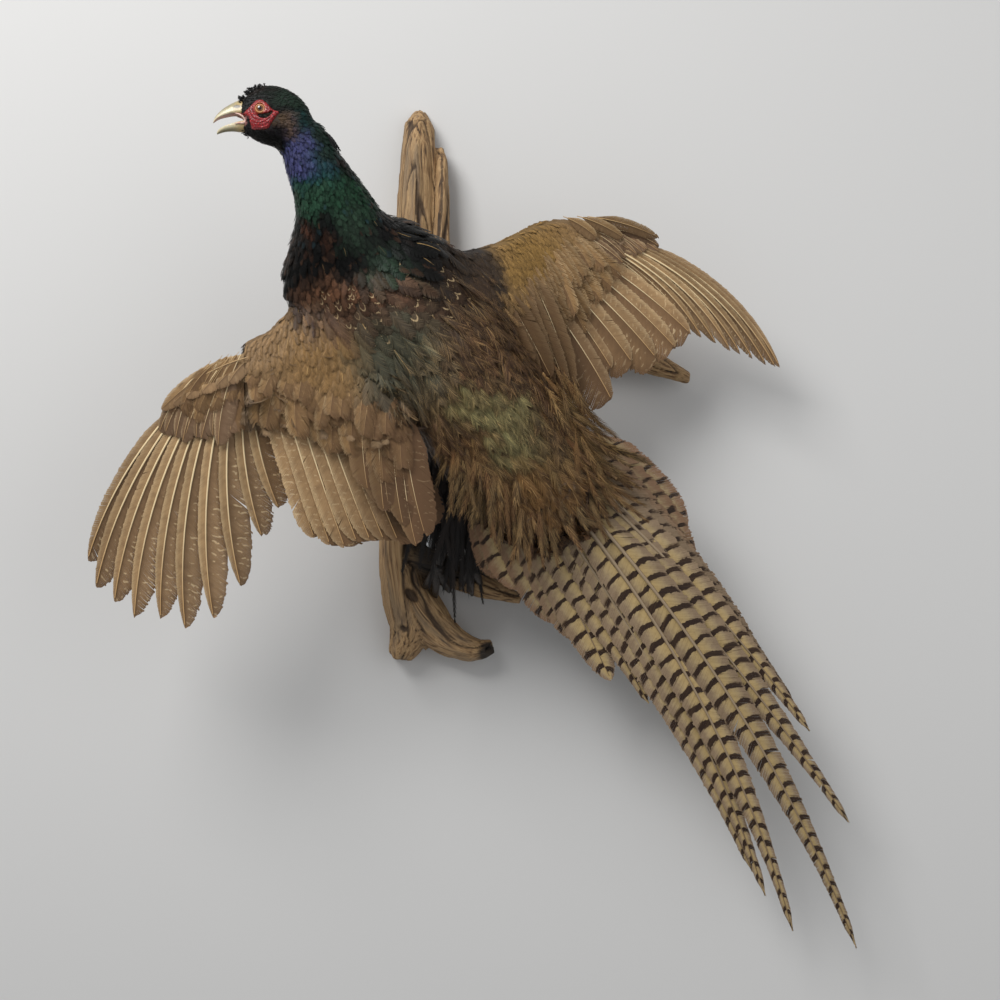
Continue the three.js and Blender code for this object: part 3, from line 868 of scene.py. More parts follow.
@dataclass
class Fan:
    """A fan of flight feathers, which grow on a straight line and part evenly."""

    start: Place
    end: Place
    lean: tuple[float, float]  # angle from straight down, in degrees
    reach: tuple[float, ...]  # lengths as seen from the room
    tip_off: tuple[float, float]
    width: float
    outer: float
    lift: float
    bow: float
    outward: int

    def feathers(self) -> list[Feather]:
        """The fan's feathers, from the wrist outwards or inwards.

        Returns:
            The feathers in order.
        """
        shares = np.linspace(0, 1, len(self.reach))
        first, last = spot(*self.start), spot(*self.end)
        roots = first + shares[:, None] * (last - first)
        angles = np.radians(np.interp(shares, (0, 1), self.lean))
        tips = roots.copy()
        tips[:, 0] += np.sin(angles) * self.reach * MM
        tips[:, 1] = -np.interp(shares, (0, 1), self.tip_off) * MM
        tips[:, 2] -= np.cos(angles) * self.reach * MM
        middles = (roots + tips) / 2
        asides = np.gradient(middles, axis=0) * self.outward
        full = self.width * MM
        return [
            Feather(root, tip, aside, full * self.outer, full * (1 - self.outer),
                    self.lift, self.bow, row=share)
            for root, tip, aside, share in zip(roots, tips, asides, shares)
        ]


@dataclass
class Row:
    """A row of coverts between a line of roots and a line of tips."""

    roots: tuple[Place, ...]
    tips: tuple[Place, ...]
    count: int
    width: float
    outer: float = 0.42
    lift: float = 0.1
    bow: float = 0.02
    arch: float = 0.015
    stray: float = 1.5  # mm by which places vary
    uneven: float = 0.05  # share by which lengths vary
    sunk: float = -2.5  # how far the roots stand off the skin
    give: float = 30.0  # how far the roots may be moved to reach it

    def feathers(self, rng: np.random.Generator, skin: BVHTree, outward: int = -1) -> list[Feather]:
        """The row's feathers.

        Args:
            rng: What small differences come from.
            skin: The skin that their roots are set in.
            outward: The way along X in which their outer vanes lie.

        Returns:
            The feathers in order.
        """
        shares = np.linspace(0, 1, self.count)
        ends = []
        for line in (self.roots, self.tips):
            course = along_course([spot(*place) for place in line], shares)
            ends.append(course + rng.normal(0, self.stray * MM, course.shape) * (1, 0.2, 1))
        for root in ends[0]:
            hit = skin.ray_cast(Vector(root) + Vector(OUT) * PROBE, -Vector(OUT), 2 * PROBE)[0]
            if hit and self.give:
                root[1] = min(hit.y - self.sunk * MM, root[1] + self.give * MM)
        ends[1] += (ends[1] - ends[0]) * rng.normal(0, self.uneven, (self.count, 1))
        full = self.width * MM * (1 + rng.normal(0, 0.06, self.count))
        return [
            Feather(root, tip, spot(outward, 0, 0), size * self.outer, size * (1 - self.outer), self.lift,
                    self.bow + rng.normal(0, 0.01), self.arch, row=share)
            for root, tip, size, share in zip(*ends, full, shares)
        ]


# ---- wings --------------------------------------------------------------------------------------


@dataclass
class Wing:
    """A wing's quills and the large coverts that lie over their roots."""

    side: Side
    primaries: Fan
    secondaries: Fan
    rows: dict[str, Row]
    quill: Cut = Cut(cup=0.14, end=0.55, thin=0.55)
    inner_quill: Cut = Cut(barbs=70, cup=0.1, end=0.72, thin=0.6, shaft=0.9 * MM)
    covert: Cut = Cut(barbs=34, steps=3, sweep=1.6, bare=0.0, full=0.06, end=0.5, cup=0.03, fray=0.5,
                      loose=0.1, part=0.5, shaft=0.22 * MM, thin=0.6, rings=8, sides=4)
    stiff: Cut = Cut(barbs=44, bare=0.06, end=0.5, cup=0.1, fray=0.08, part=0.06, shaft=0.4 * MM, thin=0.6,
                     rings=10, sides=4)
    soft: tuple[str, ...] = (  # the rows that take the soft cut
        "greater_coverts", "middle_coverts", "median_coverts", "small_primary_coverts")

    def build(self, skin: BVHTree, seed: int) -> None:
        """Makes the wing's pieces.

        Args:
            skin: The skin that the coverts' roots are set in.
            seed: What chance draws start from.
        """
        label = self.side.name.lower()
        shaft = ShaftFinish()
        dull = ShaftFinish("covert_shaft", paint(190, 158, 112), paint(158, 126, 84))
        inner = FlightFinish("secondary_feather", paint(154, 124, 88), paint(138, 108, 76), flecks=0.7,
                             both=0.6, dusk=1.0)
        quills = (("primaries", self.primaries, self.quill, FlightFinish("primary_feather")),
                  ("secondaries", self.secondaries, self.inner_quill, inner))
        for number, (name, fan, cut, finish) in enumerate(quills):
            piece = draw_feathers(f"{label}_{name}", fan.feathers(), cut, seed + number, finish, shaft)
            settle(piece, "flight_feathers", f"wing_{label}_{name}")
        finishes = {
            "primary_coverts": FlightFinish("primary_covert", paint(128, 102, 76), paint(120, 96, 74),
                                            flecks=0.1, dusk=0.1),
            "alula": FlightFinish("alula_feather", paint(152, 122, 84), paint(140, 112, 80),
                                  flecks=0.1, dusk=0.1),
            "tertials": FlightFinish("tertial_feather", paint(104, 80, 53), paint(86, 64, 44), flecks=0.15,
                                     dusk=0.3, lined=0.5, edge=0.08),
        }
        plain = FlightFinish("greater_covert", paint(146, 115, 76), paint(124, 96, 64), flecks=0.12,
                             dusk=0.55, lined=0.5)
        for number, (name, row) in enumerate(self.rows.items()):
            rng = np.random.default_rng(seed + 10 + number)
            finish = finishes.get(name, plain)
            soft = name in self.soft
            feathers = row.feathers(rng, skin, self.side.value)
            piece = draw_feathers(f"{label}_{name}", feathers, self.covert if soft else self.stiff,
                                  seed + 20 + number, finish, dull if soft or name == "alula" else shaft)
            settle(piece, "wing_coverts")


LEFT_WING = Wing(
    side=Side.LEFT,
    primaries=Fan((-134, 192, 3), (-183, 197, -25), (8.4, -33),
                  (125, 145, 183, 208, 216, 208, 209, 197, 187, 165), (160, 178), 26, 0.25, 0.15, 0.06, 1),
    secondaries=Fan((-125, 195, 5), (-56, 180, 8), (15, 22.5),
                    (156, 163, 166, 163, 163, 164, 166, 163, 157), (168, 153), 38, 0.28, 0.15, 0.01, -1),
    rows={
        "tertials": Row(
            ((-40, 192, -14), (-20, 189, -22), (-6, 187, -24)),
            ((-38, 181, -112), (-16, 178, -130), (8, 174, -140)),
            8, 26, lift=0.12, bow=0.04, stray=2.0, uneven=0.08),
        "greater_coverts": Row(
            ((-134, 202, 0), (-98, 200, -6), (-50, 193, -16), (-14, 186, -30)),
            ((-146, 196, -44), (-100, 191, -56), (-50, 185, -74), (-10, 180, -98)),
            24, 19, stray=2.5, uneven=0.1),
        "middle_coverts": Row(
            ((-128, 203, 4), (-92, 201, -2), (-48, 193, -14), (-12, 186, -26)),
            ((-142, 199, -30), (-98, 196, -44), (-52, 188, -60), (-10, 182, -78)),
            26, 17, stray=2.5, uneven=0.14),
        "median_coverts": Row(
            ((-120, 203, 10), (-88, 201, 4), (-46, 195, -8), (-12, 188, -20)),
            ((-136, 203, -16), (-96, 199, -30), (-52, 192, -46), (-10, 184, -62)),
            28, 14, stray=2.5, uneven=0.16),
        "primary_coverts": Row(
            ((-130, 204, 7), (-158, 205, -4), (-184, 205, -19)),
            ((-146, 197, -50), (-178, 197, -64), (-206, 198, -55)),
            11, 15, outer=0.3, bow=0.05, stray=2.0, uneven=0.06),
        "small_primary_coverts": Row(
            ((-130, 205, 10), (-154, 206, 2), (-178, 206, -12)),
            ((-148, 202, -26), (-176, 202, -42), (-200, 203, -40)),
            14, 11, outer=0.35, bow=0.05, stray=2.5, uneven=0.12),
        "alula": Row(
            ((-118, 206, 11), (-128, 206, 8), (-138, 205, 2)),
            ((-150, 206, -16), (-178, 206, -27), (-206, 204, -38)),
            6, 15, outer=0.4, bow=0.07, stray=0.8),
    },
)
RIGHT_WING = Wing(
    side=Side.RIGHT,
    primaries=Fan((112, 105, 127), (174, 97, 121), (55, 53.5),
                  (156, 154, 158, 166, 174, 177, 183, 190, 193, 190), (70, 62), 15, 0.3, 0.32, 0.1, 1),
    secondaries=Fan((110, 110, 125), (66, 132, 88), (56.5, 29),
                    (160, 158, 152, 140, 132, 154, 133, 115), (76, 108), 34, 0.28, 0.15, 0.03, -1),
    rows={
        "tertials": Row(
            ((94, 138, 92), (78, 146, 78), (64, 150, 60)), ((140, 118, -6), (120, 128, -16), (98, 138, 2)),
            7, 24, lift=0.12, stray=3.0, uneven=0.1),
        "greater_coverts": Row(
            ((134, 113, 120), (116, 121, 100), (92, 138, 72)),
            ((178, 104, 90), (152, 108, 52), (116, 124, 14)),
            20, 17, stray=2.5, uneven=0.1),
        "median_coverts": Row(
            ((128, 116, 128), (106, 127, 106), (82, 144, 76)),
            ((162, 109, 100), (132, 119, 62), (98, 138, 32)),
            22, 15, stray=2.5, uneven=0.14),
        "primary_coverts": Row(
            ((122, 114, 130), (148, 109, 131), (172, 105, 127)),
            ((172, 104, 98), (196, 101, 106), (216, 98, 108)),
            11, 10, outer=0.35, bow=0.06, stray=1.5),
        "alula": Row(
            ((128, 118, 133), (142, 116, 134), (152, 114, 134)),
            ((156, 112, 118), (180, 109, 118), (206, 106, 119)),
            3, 12, outer=0.4, bow=0.05, stray=0.6),
    },
)


# ---- tail ---------------------------------------------------------------------------------------


@dataclass
class Tail:
    """The tail: pairs of long tapering feathers, each deeper than the one nearer the middle."""

    middle: Place = (100, 120, -75)
    half_row: Place = (42, 0, 26)
    level: float = 0.95
    middle_lift: float = 2.0
    width: float = 38.0
    droop: float = 0.12
    lean: dict[Side, tuple[float, ...]] = field(default_factory=lambda: {
        Side.LEFT: (29.3, 29.2, 30, 30, 26.4, 24.6, 22.1, 16.2, 10),
        Side.RIGHT: (33.3, 40, 43.3, 43.4, 41.8, 41.3, 40.5, 42.5, 47),
    })
    reach: dict[Side, tuple[float, ...]] = field(default_factory=lambda: {
        Side.LEFT: (493, 452, 427, 244, 208, 165, 138, 102, 84),
        Side.RIGHT: (538, 438, 350, 322, 286, 238, 196, 164, 134),
    })
    bow: dict[Side, tuple[float, ...]] = field(default_factory=lambda: {
        Side.LEFT: (-0.055, -0.045, -0.03, 0, 0, 0, 0.03, 0.07, 0.05),
        Side.RIGHT: (0.05, 0.025, 0.03, 0.03, 0.03, 0.03, 0.03, 0.04, 0.04),
    })
    cut: Cut = Cut(Outline.TAPER, barbs=170, steps=3, sweep=0.75, full=0.24, end=0.3, cup=0.1,
                   fray=0.03, loose=0.06, shaft=2.1 * MM, rings=26)
    short: Cut = Cut(Outline.ROUND, barbs=110, steps=3, sweep=0.75, full=0.24, end=0.5, cup=0.1, fray=0.03,
                     loose=0.05, shaft=1.6 * MM, rings=20)

    def feather(self, side: Side, pair: int) -> Feather:
        """One feather of the tail, where pair 0 is the middle pair.

        Args:
            side: The side of the tail.
            pair: The pair's number.

        Returns:
            The feather.
        """
        outward = spot(*self.half_row) * side.value
        depth = (2 * pair + (side is Side.LEFT)) * self.level - (self.middle_lift if pair == 0 else 0)
        root = spot(*self.middle) + outward * (pair + 0.5) / len(self.lean[side]) - OUT * depth * MM
        angle = math.radians(self.lean[side][pair])
        tip = root + spot(math.sin(angle), -self.droop, -math.cos(angle)) * self.reach[side][pair]
        aside = np.cross(tip - root, OUT)
        aside = aside if aside @ outward > 0 else -aside
        half = self.width / 2 * MM
        row = pair / len(self.lean[side])
        return Feather(root, tip, aside, half, half, 0.0, self.bow[side][pair], 0.02, row)

    def build(self, seed: int) -> None:
        """Makes the tail's pieces.

        Args:
            seed: What chance draws start from.
        """
        finishes = (TailFinish(), ShaftFinish("tail_shaft", paint(150, 130, 104), paint(120, 98, 72)))
        count = len(self.lean[Side.LEFT])
        for side in Side:
            label = side.name.lower()
            piece = draw_feathers(f"tail_middle_feather_{label}", [self.feather(side, 0)], self.cut,
                                  seed + side.value, *finishes)
            settle(piece, "tail_feathers", f"tail_middle_{label}")
            kinds = (("long", range(1, 4), self.cut), ("short", range(4, count), self.short))
            for name, pairs, cut in kinds:
                title, others = f"{name}_tail_feathers_{label}", [self.feather(side, pair) for pair in pairs]
                piece = draw_feathers(title, others, cut, seed + 3 + side.value, *finishes)
                settle(piece, "tail_feathers", "tail_fan")


# ---- small feathers -----------------------------------------------------------------------------


class Tree(Graph):
    """A Geometry Nodes tree with named inputs, which runs on an object once."""

    def __init__(self, name: str) -> None:
        """Starts a tree that takes and gives geometry.

        Args:
            name: The tree's name.
        """
        self.group = bpy.data.node_groups.new(name, "GeometryNodeTree")
        super().__init__(self.group)
        for way in ("INPUT", "OUTPUT"):
            self.group.interface.new_socket("Geometry", in_out=way, socket_type="NodeSocketGeometry")
        self.entry = self.put("NodeGroupInput")
        self.exit = self.put("NodeGroupOutput")

    def ask(self, name: str, kind: str) -> Socket:
        """Adds a named input.

        Args:
            name: Its name.
            kind: The ending of its socket type, such as Float.

        Returns:
            The socket to link from.
        """
        self.group.interface.new_socket(name, in_out="INPUT", socket_type=f"NodeSocket{kind}")
        return self.entry.outputs[name]

    def read(self, name: object, kind: str = "FLOAT") -> Socket:
        """Reads a number or vector kept with the points."""
        return self.put("GeometryNodeInputNamedAttribute", {"Name": name}, data_type=kind).outputs[0]

    def keep(self, geometry: object, name: str, value: object, kind: str = "FLOAT") -> Socket:
        """Keeps a number or vector with the points."""
        inputs = {"Geometry": geometry, "Name": name, "Value": value}
        return self.put("GeometryNodeStoreNamedAttribute", inputs, data_type=kind, domain="POINT").outputs[0]

    def scaled(self, a: object, scale: object) -> Socket:
        """A vector times a number."""
        return self.put("ShaderNodeVectorMath", {0: a, "Scale": scale}, operation="SCALE").outputs[0]

    def chance(self, low: float, high: float, seed: object, salt: float, kind: str = "FLOAT") -> Socket:
        """A random number for each point.

        Args:
            low: The least it can be.
            high: The most it can be.
            seed: The bed's seed.
            salt: A number of its own for each use.
            kind: FLOAT or INT.

        Returns:
            The number's socket.
        """
        first, result = {"FLOAT": (2, 1), "INT": (4, 2)}[kind]
        inputs = {first: low, first + 1: high, "Seed": self.sum("ADD", seed, salt)}
        return self.put("FunctionNodeRandomValue", inputs, data_type=kind).outputs[result]

    def run(self, subject: Piece, name: str, **values: object) -> Mesh:
        """Runs the tree on an object and gives the result as a plain mesh.

        Args:
            subject: The object, left as it was.
            name: The new mesh's name.
            values: What its inputs are, by name with underscores for spaces.

        Returns:
            The mesh.
        """
        modifier = subject.modifiers.new(name, "NODES")
        modifier.node_group = self.group
        names = {item.name: item.identifier for item in self.group.interface.items_tree}
        for key, value in values.items():
            modifier[names[key.replace("_", " ")]] = value
        evaluated = subject.evaluated_get(bpy.context.evaluated_depsgraph_get())
        mesh = bpy.data.meshes.new_from_object(evaluated)
        mesh.name = name
        subject.modifiers.remove(modifier)
        return mesh


def plumage_tree() -> Tree:
    """The tree that sets feathers on a skin, along its lie and bent to its shape.

    Returns:
        The tree, ready to run on a skin that carries the fields.
    """
    tree = Tree("feather_bed")
    feathers, amount = tree.ask("Feathers", "Collection"), tree.ask("Amount", "String")
    spacing, length = tree.ask("Spacing", "Float"), tree.ask("Length", "Float")
    rise, stray = tree.ask("Rise", "Float"), tree.ask("Stray", "Float")
    hug, seed = tree.ask("Hug", "Float"), tree.ask("Seed", "Int")
    material = tree.ask("Finish", "Material")
    skin = tree.entry.outputs["Geometry"]
    scatter = tree.put("GeometryNodeDistributePointsOnFaces", {
        "Mesh": skin, "Distance Min": spacing, "Density Max": DENSEST, "Density Factor": tree.read(amount),
        "Seed": seed}, distribute_method="POISSON")
    points = tree.keep(scatter.outputs["Points"], "tone", tree.chance(0.0, 1.0, seed, 1.0))
    own = tree.times(tree.read("size"), tree.times(length, tree.chance(0.82, 1.18, seed, 2.0)))
    points = tree.keep(points, "size", own)
    points = tree.keep(points, "rise", tree.times(rise, tree.chance(0.6, 1.5, seed, 3.0)))
    stand = tree.put("FunctionNodeAlignRotationToVector", {"Vector": tree.read("up", "FLOAT_VECTOR")},
                     axis="Z")
    lying = tree.put("FunctionNodeAlignRotationToVector", {
        "Rotation": stand.outputs[0], "Vector": tree.read("lie", "FLOAT_VECTOR")}, axis="Y", pivot_axis="Z")
    away = tree.times(stray, tree.chance(-1.0, 1.0, seed, 4.0))
    twist = tree.put("FunctionNodeAxisAngleToRotation", {"Axis": (0, 0, 1), "Angle": away})
    turned = tree.put("FunctionNodeRotateRotation", {
        "Rotation": lying.outputs[0], "Rotate By": twist.outputs[0]}, rotation_space="LOCAL")
    kinds = tree.put("GeometryNodeCollectionInfo", {
        "Collection": feathers, "Separate Children": True, "Reset Children": True})
    size = tree.read("size")
    placed = tree.put("GeometryNodeInstanceOnPoints", {
        "Points": points, "Instance": kinds.outputs[0], "Pick Instance": True,
        "Instance Index": tree.chance(0, 50, seed, 5.0, "INT"), "Rotation": turned.outputs[0],
        "Scale": tree.joined(size, size, size)})
    mesh = tree.put("GeometryNodeRealizeInstances", {0: placed.outputs[0]}).outputs[0]
    nearest = tree.put("GeometryNodeProximity", {"Target": skin}, target_element="FACES")
    up = tree.put("GeometryNodeSampleNearestSurface", {
        "Mesh": skin, "Value": tree.read("up", "FLOAT_VECTOR")}, data_type="FLOAT_VECTOR").outputs[0]
    climb = tree.times(tree.read("along"), tree.read("rise"))
    height = tree.sum("ADD", climb, tree.read("loft"))
    lifted = tree.vectors("ADD", nearest.outputs["Position"], tree.scaled(up, tree.times(height, size)))
    free = tree.vectors("ADD", tree.put("GeometryNodeInputPosition").outputs[0],
                        tree.scaled(up, tree.times(climb, size)))
    bent = tree.put("ShaderNodeMix", {0: hug, 4: free, 5: lifted}, data_type="VECTOR").outputs[1]
    shaped = tree.put("GeometryNodeSetPosition", {"Geometry": mesh, "Position": bent}).outputs[0]
    smooth = tree.put("GeometryNodeSetShadeSmooth", {"Geometry": shaped}).outputs[0]
    done = tree.put("GeometryNodeSetMaterial", {"Geometry": smooth, "Material": material}).outputs[0]
    tree.feed(tree.exit.inputs["Geometry"], done)
    return tree


@dataclass
class Bed:
    """A bed of small feathers that grow out of the skin."""

    name: str
    slot: str
    amount: str
    finish: Finish
    spacing: float
    length: float = 1.0
    width: float = 0.5  # share of the length
    rise: float = 0.16
    stray: float = 0.2
    hug: float = 0.85
    kinds: int = 4
    cut: Cut = Cut(barbs=7, steps=2, sweep=0.8, bare=0.0, full=0.3, end=0.45, cup=0.25, fray=0.25,
                   loose=0.06)

    def grow(self, skin: Piece, tree: Tree, seed: int) -> None:
        """Grows the bed as one coat piece.

        Args:
            skin: The skin with its fields.
            tree: The tree that sets the feathers.
            seed: What chance draws start from.
        """
        kinds = bpy.data.collections.new(self.name)
        rng = np.random.default_rng(seed)
        for number in range(self.kinds):
            draft = Draft(f"{self.name}_{number}")
            half = self.width / 2
            feather = Feather(np.zeros(3), np.array((0.0, 1.0, 0.0)), np.array((1.0, 0.0, 0.0)), half, half,
                              lift=0.0, bow=rng.normal(0, 0.03), arch=0.03, facing=(0.0, 0.0, 1.0))
            feather.draw(draft, self.cut, rng, (0.0, 1.0))
            draft.marks["loft"] = [points[:, 2].astype(np.float32) for points in draft.points]
            kind = draft.finished(self.finish)
            kind.data.attributes.remove(kind.data.attributes["tone"])
            bpy.context.scene.collection.objects.unlink(kind)
            kinds.objects.link(kind)
        mesh = tree.run(skin, self.name, Feathers=kinds, Amount=self.amount, Spacing=self.spacing * MM,
                        Length=self.length, Rise=self.rise, Stray=self.stray, Hug=self.hug, Seed=seed,
                        Finish=self.finish.material())
        for kind in list(kinds.objects):
            bpy.data.objects.remove(kind)
        bpy.data.collections.remove(kinds)
        self.map_roots(mesh)
        settle(shown(mesh, self.finish), self.slot)

    def map_roots(self, mesh: Mesh) -> None:
        """Maps each feather to a small patch at its root's place on the body's own unwrap.

        Args:
            mesh: The bed's mesh.
        """
        flat = []
        for key, mark, middle in (("bake_x", "across", 0.0), ("bake_y", "along", 0.5)):
            root, local = (values_of(mesh.attributes[name].data, "value", 1) for name in (key, mark))
            local = local - middle if middle else local / 2
            low, high = root.min(), root.max()
            flat.append(0.01 + 0.98 * (root - low) / (high - low) + 0.003 * np.clip(local, -0.6, 0.6))
        for layer in list(mesh.uv_layers):
            mesh.uv_layers.remove(layer)
        unwrap(mesh, np.stack(flat, 1))
        for key in ("bake_x", "bake_y", "rise", "loft", "up", "lie"):
            mesh.attributes.remove(mesh.attributes[key])


# ---- plumage ------------------------------------------------------------------------------------


@dataclass(frozen=True)
class Patch:
    """A patch of colour on the body, as a soft ball stretched along the three axes."""

    centre: Place
    reach: Place
    colour: Colour
    soft: float = 0.35
    share: float = 1.0

    def lay(self, shader: Shader, place: object, under: object) -> Socket:
        """Mixes the patch over the colour so far.

        Args:
            shader: The graph that it joins.
            place: Where it is read, in metres.
            under: The colour so far.

        Returns:
            The new colour.
        """
        ratio = tuple(1 / (reach * MM) for reach in self.reach)
        away = shader.vectors("SUBTRACT", place, tuple(spot(*self.centre)))
        scaled = shader.vectors("MULTIPLY", away, ratio)
        far = shader.put("ShaderNodeVectorMath", {0: scaled}, operation="LENGTH").outputs["Value"]
        return shader.cover(under, self.colour, shader.step(far, 1 + self.soft, 1 - self.soft), self.share)


BLACK = paint(8, 8, 7)
BOTTLE = paint(24, 40, 30)
VIOLET = paint(60, 62, 102)
TEAL = paint(20, 70, 72)
GREEN = paint(40, 70, 52)
UMBER = paint(60, 44, 33)
RUST = paint(112, 70, 34)
SAGE = paint(136, 134, 90)
BUFF = paint(146, 116, 80)

PATCHES = (
    Patch((110, 110, 90), (90, 60, 75), BUFF, 0.1),
    Patch((-80, 200, 0), (95, 60, 85), BUFF, 0.1),
    Patch((-64, 205, 14), (44, 60, 26), paint(138, 106, 64), 0.5),
    Patch((-16, 200, -34), (24, 60, 44), paint(108, 86, 68), 0.4),
    Patch((94, 130, 100), (38, 50, 40), paint(146, 113, 60), 0.75),
    Patch((32, 150, 92), (32, 60, 24), paint(34, 28, 24), 0.4),
    Patch((56, 150, 76), (18, 50, 26), paint(50, 40, 32), 0.4),
    Patch((-100, 240, 192), (52, 60, 30), BLACK),
    Patch((-44, 210, 122), (64, 90, 46), BLACK, 0.25),
    Patch((-100, 185, 68), (16, 60, 26), BLACK, 0.3),
    Patch((-92, 240, 163), (26, 60, 23), VIOLET, 0.3),
    Patch((-68, 235, 162), (12, 60, 22), paint(24, 58, 66), 0.5, 0.85),
    Patch((-84, 240, 141), (24, 60, 7), TEAL, 0.6, 0.85),
    Patch((-76, 235, 129), (24, 60, 15), GREEN, 0.4, 0.9),
    Patch((-58, 230, 120), (12, 60, 18), paint(40, 58, 48), 0.6, 0.8),
    Patch((-50, 225, 134), (20, 60, 18), paint(30, 62, 42), 0.5, 0.85),
    Patch((-62, 190, 88), (44, 80, 32), BLACK, 0.25),
    Patch((-16, 180, 92), (34, 60, 28), BLACK, 0.4),
    # The feathers' own green gloss on the black lower neck, painted as sheen at three fixed spots.
    Patch((-46, 210, 112), (12, 60, 16), paint(48, 68, 52), 0.8, 0.7),
    Patch((-28, 200, 84), (13, 60, 14), paint(48, 68, 52), 0.8, 0.7),
    Patch((-8, 190, 60), (15, 60, 14), paint(50, 68, 54), 0.8, 0.7),
    Patch((-85, 240, 103), (6, 60, 7), paint(80, 48, 32), 0.8, 0.6),
    Patch((-66, 220, 96), (5, 60, 7), paint(74, 46, 32), 0.8, 0.5),
    Patch((-94, 240, 204), (26, 60, 10), BOTTLE, 0.4),
    Patch((-66, 240, 182), (12, 60, 24), BOTTLE, 0.4, 0.9),
    Patch((-86, 240, 187), (11, 60, 10), paint(22, 48, 46), 0.5, 0.9),
    Patch((-103, 240, 182), (11, 60, 7), paint(84, 66, 44), 0.6, 0.85),
    Patch((-126, 240, 203), (12, 60, 8), BLACK, 0.4),
    Patch((-116, 240, 172), (17, 60, 8), BLACK, 0.4),
    Patch((-43, 200, 52), (56, 60, 24), paint(82, 60, 46)),
    Patch((-62, 205, 62), (30, 60, 8), paint(98, 66, 46), 0.7, 0.8),
    Patch((-18, 200, 14), (36, 60, 34), paint(78, 80, 66), 0.4, 0.95),
    Patch((38, 180, 52), (30, 60, 36), paint(62, 46, 34), 0.5),
    Patch((56, 190, 6), (34, 60, 40), paint(78, 56, 38), 0.5),
    Patch((52, 190, -16), (36, 60, 16), SAGE, 0.6, 0.9),
    Patch((78, 190, -48), (34, 60, 24), SAGE, 0.6, 0.9),
    Patch((100, 170, -34), (16, 60, 30), paint(82, 54, 34), 0.7, 0.8),
    Patch((38, 190, -52), (14, 60, 16), paint(96, 66, 38), 0.7, 0.7),
    Patch((98, 180, -92), (44, 60, 30), paint(118, 86, 48), 0.5),
    Patch((104, 180, -122), (40, 60, 16), paint(104, 68, 36), 0.5, 0.8),
    Patch((56, 80, 0), (110, 52, 150), paint(40, 29, 23), 0.2),
)


def body_colour(shader: Shader, place: object) -> Socket:
    """The markings that the skin and every bed of body feathers share, with edges that wander.

    Args:
        shader: The graph that they join.
        place: Where they are read, in metres.

    Returns:
        The colour.
    """
    inputs = {"Vector": place, "Scale": 60.0, "Detail": 2.0}
    wobble = shader.put("ShaderNodeTexNoise", inputs).outputs["Color"]
    centred = shader.vectors("SUBTRACT", wobble, (0.5, 0.5, 0.5))
    moved = shader.vectors("MULTIPLY_ADD", centred, (0.03, 0.03, 0.03), place)
    colour = UMBER
    for patch in PATCHES:
        colour = patch.lay(shader, moved, colour)
    return colour


@dataclass(frozen=True)
class SkinFinish(Finish):
    """The skin, darker than the coat over it: the body's markings darkened towards black as painted shade in
    the gaps between the feathers.
    """

    name: str = "skin_under_coat"
    mouth: Colour = paint(168, 112, 104)

    def dress(self, shader: Shader) -> Material:
        """Builds the material's graph.

        Args:
            shader: The empty graph to build.

        Returns:
            The finished material.
        """
        # Painted shade: the markings are darkened where the skin shows between the feathers.
        colour = shader.blend(0.45, body_colour(shader, shader.vector("root")), BLACK)
        colour = shader.blend(shader.mark("mouth"), colour, self.mouth)
        grain = shader.noise(900.0)
        return shader.close(colour, 0.8, shader.bumped(grain, 0.3, 0.0004))


